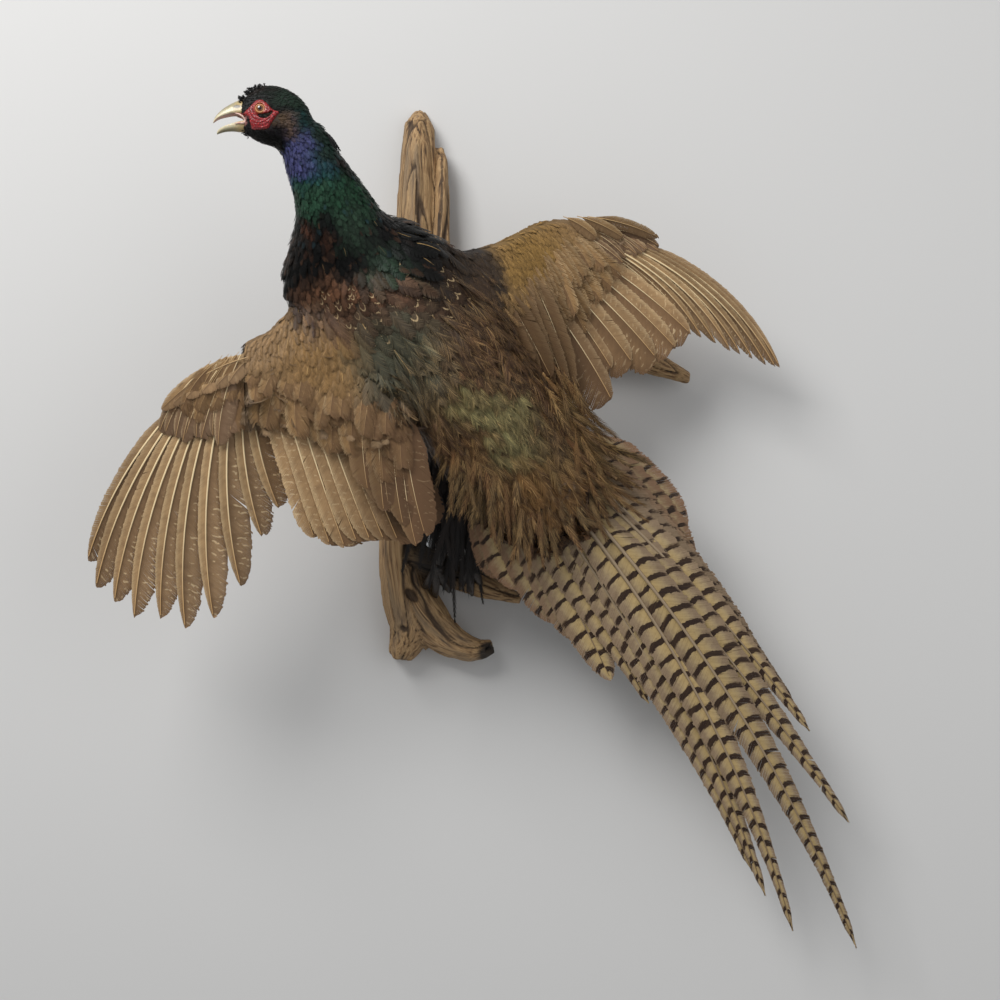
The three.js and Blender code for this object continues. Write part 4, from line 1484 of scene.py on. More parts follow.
@dataclass(frozen=True)
class PlumeFinish(Finish):
    """A small body feather: the body's colour at its root, then its own shaft, rim, ring and tip."""

    name: str
    streak: float = 0.0
    streak_colour: Colour = paint(196, 160, 104)
    streak_width: float = 0.09
    rim: float = 0.0
    rim_colour: Colour = paint(40, 30, 24)
    rim_from: float = 0.7
    ring: float = 0.0
    ring_colour: Colour = paint(178, 160, 118)
    tip: float = 0.0
    tip_colour: Colour = RUST
    fleck: float = 0.0  # share of the feathers that carry a bright fleck
    fleck_colour: Colour = GREEN
    base: Colour | None = None  # instead of the body's markings
    vary: float = 0.5
    # How strong the painted shade between the strands is.
    lines: float = 0.45
    # The strands are partly the barbs' own straw colour and partly painted highlight: a brighter copy of the
    # feather's colour.
    hair: float = 0.0  # strength of the strands of another colour
    hair_colour: Colour = paint(150, 118, 66)
    highlight_gain: float = 2.4  # how much brighter the strands are than the feather
    straw: float = 0.35  # how far they take their own colour
    roughness: float = 0.5
    specular: float = 0.25

    def dress(self, shader: Shader) -> Material:
        """Builds the material's graph.

        Args:
            shader: The empty graph to build.

        Returns:
            The finished material.
        """
        across, along, tone, barb = map(shader.mark, ("across", "along", "tone", "barb"))
        colour = self.base or body_colour(shader, shader.vector("root"))
        aside = shader.sum("ABSOLUTE", across)
        other = shader.sum("FRACT", shader.times(tone, 7.31))  # a second random number from the first
        if self.fleck:
            chosen = shader.step(other, self.fleck + 0.06, self.fleck - 0.06)
            colour = shader.cover(colour, self.fleck_colour, chosen, shader.step(along, 0.35, 0.7),
                                  shader.step(aside, 1.0, 0.5))
        if self.tip:
            colour = shader.cover(colour, self.tip_colour, shader.step(along, 0.55, 0.95), self.tip)
        if self.rim:
            edge = shader.sum("MAXIMUM", aside, shader.sum("MULTIPLY_ADD", along, 1.7, -0.75))
            colour = shader.cover(colour, self.rim_colour, shader.step(edge, self.rim_from, 0.98), self.rim)
        if self.ring:
            below = shader.sum("MAXIMUM", shader.sum("MULTIPLY_ADD", along, 2.2, -0.9), 0.0)
            far = shader.sum("SQRT", shader.sum("MULTIPLY_ADD", aside, aside, shader.times(below, below)))
            gap = shader.sum("ABSOLUTE", shader.sum("SUBTRACT", far, 0.56))
            colour = shader.cover(colour, self.ring_colour, shader.step(gap, 0.12, 0.04),
                                  shader.step(other, 0.35, 0.45), self.ring)
        fine = shader.noise(38.0, shader.joined(shader.times(across, 0.02), barb, tone), 2.0)
        grain = shader.step(fine, 0.36, 0.66)
        # Strands: a brighter copy of the feather's colour as painted highlight, tinted with the straw colour
        # as far as straw says.
        if self.hair:
            place = shader.joined(shader.times(across, 0.01), barb, shader.times(tone, 5.0))
            bright = shader.blend(1.0, colour, (self.highlight_gain, self.highlight_gain, self.highlight_gain, 1.0), "MULTIPLY")
            bright = shader.blend(self.straw, bright, self.hair_colour)
            strand = shader.step(shader.noise(50.0, place, 1.0), 0.54, 0.62)
            colour = shader.cover(colour, bright, strand, self.hair)
        # Painted shade in the gaps between the strands: a darker copy of the feather's colour along the
        # grain.
        gap_shade = shader.blend(1.0, colour, (0.22, 0.2, 0.18, 1.0), "MULTIPLY")
        colour = shader.cover(colour, gap_shade, grain, self.lines)
        if self.streak:  # a pale shaft on some of the feathers
            colour = shader.cover(colour, self.streak_colour, shader.step(
                aside, self.streak_width, self.streak_width * 0.4), shader.step(
                    other, 1 - self.streak, 1.06 - self.streak), 0.8)
        colour = shader.toned(colour, tone, self.vary, 1 - self.vary / 2)
        return shader.close(colour, self.roughness, shader.bumped(grain, 0.3, 0.0002),
                            Specular_IOR_Level=self.specular)


TINY = Cut(barbs=4, steps=2, sweep=0.8, bare=0.0, end=0.3, cup=0.2, fray=0.3, shaft=0.012, rings=2, sides=3)
SMALL = Cut(barbs=7, steps=2, sweep=1.0, bare=0.0, end=0.35, cup=0.16, fray=0.5, loose=0.1, part=0.3,
            shaft=0.008, rings=3, sides=3)
LOOSE = Cut(Outline.SOFT, barbs=11, steps=2, sweep=1.7, bare=0.0, end=0.4, cup=0.2, fray=0.5, loose=0.1,
            part=0.5, shaft=0.008, rings=3, sides=3)
SCALE = Cut(barbs=11, steps=2, sweep=1.0, bare=0.0, end=0.4, cup=0.06, fray=0.5, loose=0.08, part=0.35,
            shaft=0.008, rings=3, sides=3)
HAIRY = Cut(Outline.SOFT, barbs=14, steps=2, sweep=3.6, bare=0.0, end=0.5, cup=0.2, fray=0.7, loose=0.26,
            part=0.72, shaft=0.005, rings=4, sides=3)

BEDS = (
    Bed("face_feathers", "head_plumage", "bed_face", PlumeFinish("face_feather", rim=0.3, specular=0.1),
        spacing=1.15, width=0.5, rise=0.22, kinds=3, cut=TINY),
    Bed("nape_feathers", "head_plumage", "bed_nape",
        PlumeFinish("nape_feather", rim=0.25, rim_colour=BLACK, fleck=0.02, fleck_colour=paint(30, 54, 60),
                    vary=0.7, roughness=0.42, specular=0.14),
        spacing=1.9, width=0.42, rise=0.2, cut=SMALL),
    Bed("neck_feathers", "neck_plumage", "bed_neck",
        PlumeFinish("neck_feather", rim=0.35, rim_colour=BLACK, fleck=0.1, fleck_colour=paint(56, 38, 26),
                    streak=0.06, vary=0.8, hair=0.5, straw=0.0, highlight_gain=2.2, lines=0.6, roughness=0.42,
                    specular=0.16),
        spacing=2.7, width=0.36, rise=0.16, cut=SMALL),
    Bed("mantle_feathers", "back_plumage", "bed_mantle",
        PlumeFinish("mantle_feather", ring=0.9, ring_colour=paint(184, 160, 122), rim=0.5, streak=0.05,
                    vary=0.5, lines=0.6, hair=0.5, straw=0.1, highlight_gain=2.0, roughness=0.6, specular=0.15),
        spacing=2.9, length=0.7, width=0.46, rise=0.07, cut=SCALE),
    Bed("back_plumes", "back_plumage", "bed_back",
        PlumeFinish("back_plume", streak=0.15, streak_width=0.06, tip=0.2, rim=0.2, hair=0.9, straw=0.45,
                    highlight_gain=2.8, hair_colour=paint(182, 150, 94), vary=0.6, lines=0.9),
        spacing=3.25, length=1.0, width=0.28, rise=0.22, stray=0.2, cut=HAIRY),
    Bed("rump_plumes", "back_plumage", "bed_rump",
        PlumeFinish("rump_plume", streak=0.16, streak_width=0.06, tip=0.2, rim=0.2, hair=0.9, straw=0.3,
                    hair_colour=paint(176, 148, 96), vary=0.35, lines=0.85),
        spacing=2.9, length=1.4, width=0.2, rise=0.2, stray=0.18, hug=0.6, cut=HAIRY),
    Bed("belly_feathers", "back_plumage", "bed_belly",
        PlumeFinish("belly_feather", rim=0.5, tip=0.4, roughness=0.6), spacing=5.5, width=0.5, rise=0.14,
        cut=LOOSE),
    Bed("shoulder_coverts", "wing_coverts", "bed_shoulder",
        PlumeFinish("shoulder_feather", rim=0.15, rim_colour=paint(96, 74, 50), streak=0.1, hair=0.6,
                    highlight_gain=1.5, straw=0.2, hair_colour=paint(172, 136, 84), vary=0.3, lines=0.6),
        spacing=2.9, length=1.15, width=0.36, rise=0.1, cut=LOOSE),
    Bed("wing_lining", "wing_coverts", "bed_lining",
        PlumeFinish("lining_feather", base=paint(138, 114, 86), rim=0.4, rim_colour=paint(98, 78, 62)),
        spacing=4.0, length=0.8, width=0.55, rise=0.06, hug=0.0, cut=LOOSE),
    Bed("thigh_feathers", "thigh_plumage", "bed_thigh",
        PlumeFinish("thigh_feather", base=paint(44, 32, 25), rim=0.4), spacing=4.0, width=0.5, rise=0.2,
        cut=LOOSE),
)


# ---- head ---------------------------------------------------------------------------------------


@dataclass(frozen=True)
class Head:
    """The bare parts of the head: face, lids, eyes, mouth and bill, alike on both sides."""

    middle: float = 240.0  # mm off the wall
    eye: tuple[float, float] = (-117.0, 194.8)  # x and z in mm
    eye_off: float = 9.9
    eye_radius: float = 6.5
    opening: float = 2.75
    lid: float = 0.85
    pleats: int = 26
    face: tuple[tuple[float, float], ...] = (
        (-132.2, 191.2), (-128.6, 190.0), (-126.4, 187.8), (-125.4, 183.2), (-124.2, 179.6), (-117.6, 178.8),
        (-111.6, 179.2), (-108.4, 182.6), (-105.2, 187.2), (-101.6, 191.6), (-106.4, 193.4), (-110.2, 197.2),
        (-113.8, 200.8), (-117.6, 202.4), (-121.4, 200.8), (-126.4, 196.2),
    )
    patch: tuple[float, float] = (-113.0, 189.0)  # the feathered strip under the eye
    patch_reach: tuple[float, float] = (6.6, 1.9)
    mouth: Place = (-129.8, 187.4, 3.0)  # corner x and z, and half its opening there
    bill_upper: tuple[tuple[float, float, float, float], ...] = (
        (-130, 206.2, 192.6, 7.4), (-135, 205.2, 193.2, 6.8), (-141.2, 202.6, 193.4, 5.7),
        (-148.1, 198.6, 191.8, 4.3), (-152.8, 194.4, 190.0, 3.0), (-155.6, 190.6, 187.8, 1.6),
        (-156.7, 187.6, 186.6, 0.5),
    )
    bill_lower: tuple[tuple[float, float, float, float], ...] = (
        (-130, 187.6, 179.4, 6.6), (-135, 186.8, 179.4, 6.0), (-141, 185.4, 180.0, 5.0),
        (-147, 183.8, 179.6, 3.8), (-151.5, 181.6, 178.4, 2.4), (-153.6, 179.4, 177.6, 0.8),
    )
    lips: tuple[tuple[float, float], ...] = (
        (-138.5, 193.4), (-134.0, 192.0), (-130.6, 189.2), (-129.6, 187.2), (-130.8, 185.6), (-134.0, 185.4),
        (-138.5, 185.0),
    )
    tufts: tuple[tuple[Place, Place, Place, float, int], ...] = (  # start, spread, step, size, count
        ((-131, 240, 203), (2.2, 3.4, 1.6), (-2.4, 0.5, 1.6), 3.4, 60),
        ((-125, 240, 208), (2.6, 3.8, 1.4), (-1.8, 0.5, 2.4), 3.4, 60),
        ((-119, 240, 211), (2.6, 4.0, 1.2), (-0.8, 0.5, 2.2), 3.0, 40),
        ((-130, 240, 178), (1.6, 3.0, 1.0), (-1.6, 0.5, -0.8), 2.4, 30),
        ((-66, 240, 184), (0.4, 0.5, 0.5), (12.0, 1.0, -15.0), 4.0, 7),
    )
    tuft: Cut = Cut(Outline.SOFT, barbs=9, steps=2, sweep=2.2, bare=0.0, end=0.4, cup=0.2, fray=0.6,
                    loose=0.2, part=0.5, shaft=0.1 * MM, rings=3, sides=3)

    def outline(self, count: int) -> Array:
        """The bare face's outline as a closed smooth line of x and z, in mm.

        Args:
            count: How many points it has.

        Returns:
            One row for each point.
        """
        wrapped = np.array(self.face[-2:] + self.face + self.face[:3])
        shares = np.linspace(2, len(self.face) + 2, count + 1)[:-1] / (len(wrapped) - 1)
        return along_course(wrapped, shares)

    def inside(self, points: Array) -> Array:
        """How deep each x and z lies within the bare face's outline, in mm, below 0 outside it.

        Args:
            points: The x and z of each place, in mm.

        Returns:
            One depth for each place.
        """
        line = self.outline(60)
        ends = np.roll(line, -1, axis=0)
        way = ends - line
        away = points[:, None] - line[None]
        share = np.clip(np.sum(away * way, 2) / np.sum(way * way, 1), 0, 1)
        gap = np.linalg.norm(away - share[..., None] * way, axis=2).min(1)
        above = (line[None, :, 1] > points[:, None, 1]) != (ends[None, :, 1] > points[:, None, 1])
        rise = np.where(np.abs(way[:, 1]) < 1e-9, 1e-9, way[:, 1])
        crossing = line[:, 0] + (points[:, None, 1] - line[:, 1]) / rise * way[:, 0]
        odd = np.sum(above & (points[:, None, 0] < crossing), axis=1) % 2 == 1
        return np.where(odd, gap, -gap)

    def in_patch(self, flat: Array) -> Array:
        """1 on the feathered strip under the eye, 0 off it, for x and z in mm.

        Args:
            flat: The x and z of each place, in mm.

        Returns:
            One share for each place.
        """
        away = flat - np.array(self.patch)
        bend = away[:, 1] - 0.05 * away[:, 0] ** 2 - 0.14 * away[:, 0]
        far = np.hypot(away[:, 0] / self.patch_reach[0], bend / self.patch_reach[1])
        return ease(far, 1.25, 0.75)

    def bare(self, points: Array) -> Array:
        """1 where the head has no feathers, 0 where it has, for points in metres.

        Args:
            points: The points.

        Returns:
            One share for each point.
        """
        flat = points[:, (0, 2)] / MM
        face = ease(self.inside(flat), -0.2, 0.8) * (1 - self.in_patch(flat))
        bill = ease(flat[:, 0], -134.5, -136.0)
        return np.clip(face + bill + self.in_mouth(points), 0, 1)

    def in_mouth(self, points: Array) -> Array:
        """1 inside the open mouth, 0 outside it."""
        x, z = points[:, 0] / MM, points[:, 2] / MM
        return ease(x, self.mouth[0] + 1.5, self.mouth[0] - 0.5) * ease(np.abs(z - self.mouth[1]), 4.6, 3.4)

    def open_mouth(self, points: Array) -> Array:
        """The points with those in front of the mouth's corner pushed back to it.

        Args:
            points: The points, in metres.

        Returns:
            The moved points.
        """
        z = points[:, 2] / MM
        wall = self.mouth[0] - 8.0 * ease(np.abs(z - self.mouth[1]), self.mouth[2], self.mouth[2] + 2.2)
        moved = points.copy()
        moved[:, 0] = np.maximum(points[:, 0], wall * MM)
        return moved

    def build(self, skin: Piece, seed: int) -> None:
        """Makes the bare parts of the head.

        Args:
            skin: The skin that the face lies on.
            seed: What chance draws start from.
        """
        tree = BVHTree.FromObject(skin, bpy.context.evaluated_depsgraph_get())
        self.grow_tufts(tree, seed)
        face = Draft("bare_face")
        for side in Side:
            self.draw_face(face, side, tree)
            self.draw_eye(side)
        settle(face.finished(FaceFinish()), "head_plumage")
        bill = HornFinish()
        for name, stations, up in (("bill_upper", self.bill_upper, 1), ("bill_lower", self.bill_lower, -1)):
            settle(self.draw_bill(f"{name}_half", stations, up).finished(bill), "bill", name)
        settle(self.draw_gape().finished(GapeFinish()), "bill")

    def grow_tufts(self, tree: BVHTree, seed: int) -> None:
        """Grows the ragged tufts of the forehead and chin and the loose feathers of the nape.

        Args:
            tree: The skin that they grow on.
            seed: What chance draws start from.
        """
        rng = np.random.default_rng(seed)
        feathers = []
        for start, spread, step, reach, count in self.tufts:
            for _ in range(count):
                wished = spot(*np.add(start, np.clip(rng.normal(0, 1, 3), -1.6, 1.6) * spread))
                root = np.array(tree.find_nearest(Vector(wished))[0])
                tip = root + (spot(*step) + spot(*rng.normal(0, 0.2 * reach, 3))) * rng.uniform(0.6, 1.2)
                vane = 0.24 * reach * MM
                feathers.append(Feather(root, tip, np.cross(tip - root, OUT), vane, vane, lift=0.0,
                                        bow=rng.normal(0, 0.04), arch=0.05, row=0.5))
        finish = PlumeFinish("tuft", base=BLACK, lines=0.3, roughness=0.5, specular=0.15)
        settle(draw_feathers("head_tufts", feathers, self.tuft, seed, finish, finish), "head_plumage")

    def draw_face(self, draft: Draft, side: Side, tree: BVHTree) -> None:
        """Adds one side's bare face, from the lids out to its edge under the feathers.

        Args:
            draft: The mesh that it joins.
            side: The side of the head.
            tree: The skin that it lies on.
        """
        count, rings = 150, 34
        line = self.outline(count)
        eye = np.array(self.eye)
        spokes = line - eye
        inner = eye + unit(spokes) * (self.opening + self.lid * 1.6)
        outer = line + unit(spokes) * 0.5
        facing = -side.value
        points, lobes, depths = [], [], []
        for share in np.linspace(0, 1, rings):
            ring = inner + (outer - inner) * share
            for (x, z), deep, hidden in zip(ring, self.inside(ring), self.in_patch(ring)):
                start = Vector(spot(x, self.middle + facing * 60, z))
                hit = tree.ray_cast(start, Vector(OUT) * -facing)[0]
                off = facing * (-hit.y / MM - self.middle) if hit else 14.0
                near = math.hypot(x - eye[0], z - eye[1])
                ball = self.eye_off + math.sqrt(max(self.eye_radius**2 - near**2, 0.0))
                off = max(off, ball * float(ease(near, 6.6, 5.0)))
                place = Vector((x / 1.25, z / 1.25, side.value * 9.0))
                cells = noise.voronoi(place)[0]
                bump = min(cells[1] - cells[0], 0.7) * 0.75
                fold = math.sin(near * 2.6 + 1.6 * noise.noise(place * 0.3)) * 0.16
                swell = 1.5 * float(ease(deep, -0.4, 1.4)) - 0.9 * float(ease(deep, 0.2, -0.4))
                calm = float(ease(near, self.opening + 1.0, self.opening + 3.0))
                rise = swell + (bump + fold) * calm * float(ease(deep, 0.0, 1.2))
                rise -= 2.4 * hidden
                points.append(spot(x, self.middle + facing * (off + rise), z))
                lobes.append(bump)
                depths.append(near)
        draft.add(np.array(points), tube_faces(rings, count, facing > 0), bump=lobes, near=depths)

    def draw_eye(self, side: Side) -> None:
        """Makes one eyeball with its lids.

        Args:
            side: The side of the head.
        """
        facing = -side.value
        label = side.name.lower()
        centre = spot(self.eye[0], self.middle + facing * self.eye_off, self.eye[1])
        rings, sides = 40, 48
        ball = Draft(f"eyeball_{label}")
        polar = np.linspace(0.001, math.pi * 0.62, rings)[:, None]
        angle = (np.arange(sides) / sides * 2 * math.pi)[None]
        bulge = 1 + 0.05 * ease(polar, 0.5, 0.25)
        radius = self.eye_radius * MM * bulge
        points = centre + np.stack((radius * np.sin(polar) * np.cos(angle),
                                    -facing * radius * np.cos(polar) * np.ones_like(angle),
                                    radius * np.sin(polar) * np.sin(angle)), -1)
        near = np.repeat(np.sin(polar[:, 0]) * self.eye_radius, sides)
        ball.add(points.reshape(-1, 3), tube_faces(rings, sides, facing > 0), near=near,
                 around=np.tile(angle[0], rings))
        settle(ball.finished(EyeFinish()), "eye", f"eye_{label}")
        lids = Draft(f"lids_{label}")
        hoops, around = 96, 12
        turn = np.arange(hoops + 1) / hoops * 2 * math.pi
        loop = np.arange(around) / around * 2 * math.pi
        droop = 0.4 * np.maximum(np.sin(turn), 0) ** 2  # the upper lid hangs a little lower
        pleat = 1 + 0.09 * np.sin(turn * self.pleats) * np.sin(turn * 7 + 1)
        mid = self.opening + self.lid * 0.75 - droop
        ring = (self.lid * pleat)[:, None]
        far = mid[:, None] + ring * np.cos(loop)
        seat = self.eye_off + np.sqrt(self.eye_radius**2 - mid**2) + 0.2
        off = seat[:, None] + 0.7 * ring * np.sin(loop) - 0.25 * np.maximum(far - mid[:, None], 0)
        points = np.stack((self.eye[0] + far * np.cos(turn)[:, None],
                           self.middle + facing * off,
                           self.eye[1] + far * np.sin(turn)[:, None] * 0.94), -1).reshape(-1, 3)
        places = points * (1, -1, 1) * MM
        lids.add(places, tube_faces(hoops + 1, around, facing > 0),
                 pleat=np.repeat(np.sin(turn * self.pleats), around), edge=np.tile(np.cos(loop), hoops + 1))
        settle(lids.finished(LidFinish()), "head_plumage")

    def draw_bill(self, name: str, stations: tuple, up: int) -> Draft:
        """Draws one half of the bill, ridged outside and hollow inside.

        Args:
            name: The piece's name.
            stations: Its sections: x, top, bottom and half depth, in mm.
            up: 1 for the upper half, -1 for the lower one.

        Returns:
            The draft.
        """
        rings, outside, hollow = 40, 22, 12
        shares = np.linspace(0, 1, rings)
        x, top, bottom, deep = along_course(np.array(stations), shares).T
        ridge, edge = (top, bottom) if up > 0 else (bottom, top)
        angle = np.linspace(0, math.pi, outside)
        wide = np.cos(angle) * (1 - 0.3 * np.sin(angle) ** 3)
        high = np.sin(angle) ** 0.85
        back = np.linspace(-0.86, 0.86, hollow)
        wide = np.concatenate((wide, back))
        high = np.concatenate((high, 0.42 * (1 - (back / 0.9) ** 2)))
        tall = (ridge - edge)[:, None]
        off = deep[:, None] * wide
        z = edge[:, None] + tall * high
        along = np.broadcast_to(shares[:, None], off.shape)
        place_x = np.broadcast_to(x[:, None], off.shape)
        if up > 0:
            flap = np.exp(-((place_x + 138.6) / 2.4) ** 2 - ((z - 199.4) / 1.3) ** 2)
            slit = np.exp(-((place_x + 139.0) / 2.2) ** 2 - ((z - 197.9) / 0.5) ** 2)
            outer = np.arange(off.shape[1]) < outside
            off = off + np.sign(off) * (0.6 * flap - 0.7 * slit) * outer
        points = np.stack((place_x, -(self.middle + off), z), -1).reshape(-1, 3) * MM
        sides = outside + hollow
        draft = Draft(name)
        draft.add(points, tube_faces(rings, sides, up > 0), along=along.ravel(),
                  high=np.broadcast_to(high, off.shape).ravel(),
                  lining=np.broadcast_to(np.arange(sides) >= outside, off.shape).ravel().astype(float))
        return draft

    def draw_gape(self) -> Draft:
        """Draws the soft lips at both corners of the mouth.

        Returns:
            The draft.
        """
        draft = Draft("gape")
        rings, sides = 30, 10
        line = along_course(self.lips, np.linspace(0, 1, rings))
        loop = np.arange(sides) / sides * 2 * math.pi
        way = unit(np.gradient(line, axis=0))
        normal = np.stack((-way[:, 1], way[:, 0]), 1)
        thick = 1.15 * np.sin(np.linspace(0.25, math.pi - 0.25, rings))
        for facing in (1, -1):
            lateral = 6.3 + 0.9 * ease(line[:, 0], -138, -130)
            flat = line[:, None] + thick[:, None, None] * np.cos(loop)[None, :, None] * normal[:, None]
            off = lateral[:, None] + thick[:, None] * np.sin(loop)
            points = np.stack((flat[..., 0], -(self.middle + facing * off), flat[..., 1]), -1) * MM
            draft.add(points.reshape(-1, 3), tube_faces(rings, sides, facing < 0))
        return draft


@dataclass(frozen=True)
class FaceFinish(Finish):
    """The bare red face: crimson papillae, with painted highlight on their tops and painted shade, nearly
    black, between them.
    """

    name: str = "bare_face"
    red: Colour = paint(150, 24, 30)
    bright: Colour = paint(206, 62, 62)
    deep: Colour = paint(66, 10, 12)
    orange: Colour = paint(196, 92, 60)

    def dress(self, shader: Shader) -> Material:
        """Builds the material's graph.

        Args:
            shader: The empty graph to build.

        Returns:
            The finished material.
        """
        bump, near = shader.mark("bump"), shader.mark("near")
        # Painted shade in the gaps between the papillae and painted highlight on their tops, both by each
        # papilla's height.
        colour = shader.blend(shader.step(bump, 0.0, 0.16), self.deep, self.red)
        colour = shader.blend(shader.step(bump, 0.2, 0.5), colour, self.bright)
        patchy = shader.step(shader.noise(260.0), 0.4, 0.65)
        colour = shader.cover(colour, self.deep, patchy, 0.35)
        ring = shader.times(shader.step(near, 5.6, 4.0), 0.65)
        colour = shader.blend(ring, colour, self.orange)
        return shader.close(colour, 0.42, shader.bumped(shader.noise(2200.0), 0.4, 0.0003),
                            Subsurface_Weight=0.12, Subsurface_Scale=0.001, Coat_Weight=0.15)


@dataclass(frozen=True)
class LidFinish(Finish):
    """The lids: tan, finely pleated, darker at the rim against the eye."""

    name: str = "lid"
    tan: Colour = paint(182, 130, 76)
    rose: Colour = paint(156, 66, 48)
    dark: Colour = paint(60, 34, 22)

    def dress(self, shader: Shader) -> Material:
        """Builds the material's graph.

        Args:
            shader: The empty graph to build.

        Returns:
            The finished material.
        """
        edge, pleat = shader.mark("edge"), shader.mark("pleat")
        colour = shader.blend(shader.step(edge, 0.1, 0.95), self.tan, self.rose)
        colour = shader.blend(shader.step(edge, -0.55, -0.95), colour, self.dark)
        colour = shader.cover(colour, self.rose, shader.step(pleat, 0.2, -0.9), 0.4)
        return shader.close(colour, 0.45, shader.bumped(shader.noise(3000.0), 0.3, 0.0002), Coat_Weight=0.1)


@dataclass(frozen=True)
class EyeFinish(Finish):
    """A glass eye: black pupil, amber iris with fine spokes, dark surround."""

    name: str = "eye_glass"
    pupil: float = 1.5
    iris: float = 2.8

    def dress(self, shader: Shader) -> Material:
        """Builds the material's graph.

        Args:
            shader: The empty graph to build.

        Returns:
            The finished material.
        """
        near, around = shader.mark("near"), shader.mark("around")
        spokes = shader.noise(6.0, shader.joined(shader.times(around, 3.0), near), 3.0)
        amber = shader.blend(shader.step(spokes, 0.35, 0.65), paint(150, 84, 34), paint(84, 44, 20))
        amber = shader.blend(shader.step(near, self.iris - 0.5, self.iris), amber, paint(30, 18, 10))
        edge = shader.step(near, self.pupil - 0.12, self.pupil + 0.08)
        colour = shader.blend(edge, (0.002, 0.002, 0.002, 1), amber)
        return shader.close(colour, 0.12, Coat_Weight=1.0, Coat_Roughness=0.03, IOR=1.5)


@dataclass(frozen=True)
class HornFinish(Finish):
    """The bill's horn: cream sides, olive ridge, golden root, growth lines, a pink lining and painted shade
    at the nostril.
    """

    name: str = "bill_horn"
    cream: Colour = paint(208, 198, 166)
    ridge: Colour = paint(128, 120, 90)
    gold: Colour = paint(186, 158, 96)
    lining: Colour = paint(196, 170, 158)

    def dress(self, shader: Shader) -> Material:
        """Builds the material's graph.

        Args:
            shader: The empty graph to build.

        Returns:
            The finished material.
        """
        along, high, lining = map(shader.mark, ("along", "high", "lining"))
        colour = shader.blend(shader.step(high, 0.35, 0.9), self.cream, self.ridge)
        root = shader.times(shader.step(along, 0.42, 0.1), 0.7)
        colour = shader.blend(root, colour, self.gold)
        growth = shader.noise(55.0, shader.joined(shader.times(along, 0.9), shader.times(high, 0.12)), 3.0)
        colour = shader.cover(colour, paint(120, 98, 60), shader.step(growth, 0.42, 0.68), 0.4)
        # Painted shade: the nostril's slit and flap are darkened.
        nostril_shade = Patch((-136.6, 240, 198.6), (3.2, 30, 1.4), paint(40, 28, 16), 0.4, 0.9)
        colour = nostril_shade.lay(shader, shader.place, colour)
        colour = shader.blend(lining, colour, self.lining)
        height = shader.shifted(growth, (shader.noise(1500.0), 0.3))
        return shader.close(colour, 0.32, shader.bumped(height, 0.25, 0.0004), Coat_Weight=0.25,
                            Coat_Roughness=0.3, Subsurface_Weight=0.08, Subsurface_Scale=0.001)


@dataclass(frozen=True)
class GapeFinish(Finish):
    """The soft pale pink lips at the corners of the mouth."""

    name: str = "gape"

    def dress(self, shader: Shader) -> Material:
        """Builds the material's graph.

        Args:
            shader: The empty graph to build.

        Returns:
            The finished material.
        """
        colour = shader.blend(shader.step(shader.noise(420.0), 0.4, 0.65), paint(216, 186, 172),
                              paint(188, 140, 126))
        return shader.close(colour, 0.45, shader.bumped(shader.noise(1800.0), 0.4, 0.0003),
                            Subsurface_Weight=0.1, Subsurface_Scale=0.001)


HEAD = Head()


# ---- skin ---------------------------------------------------------------------------------------


@dataclass(frozen=True)
class Flesh:
    """A CAD node of flesh: the depth of its coat and the length of its feathers, in mm."""

    node: str
    coat: float
    feather: float


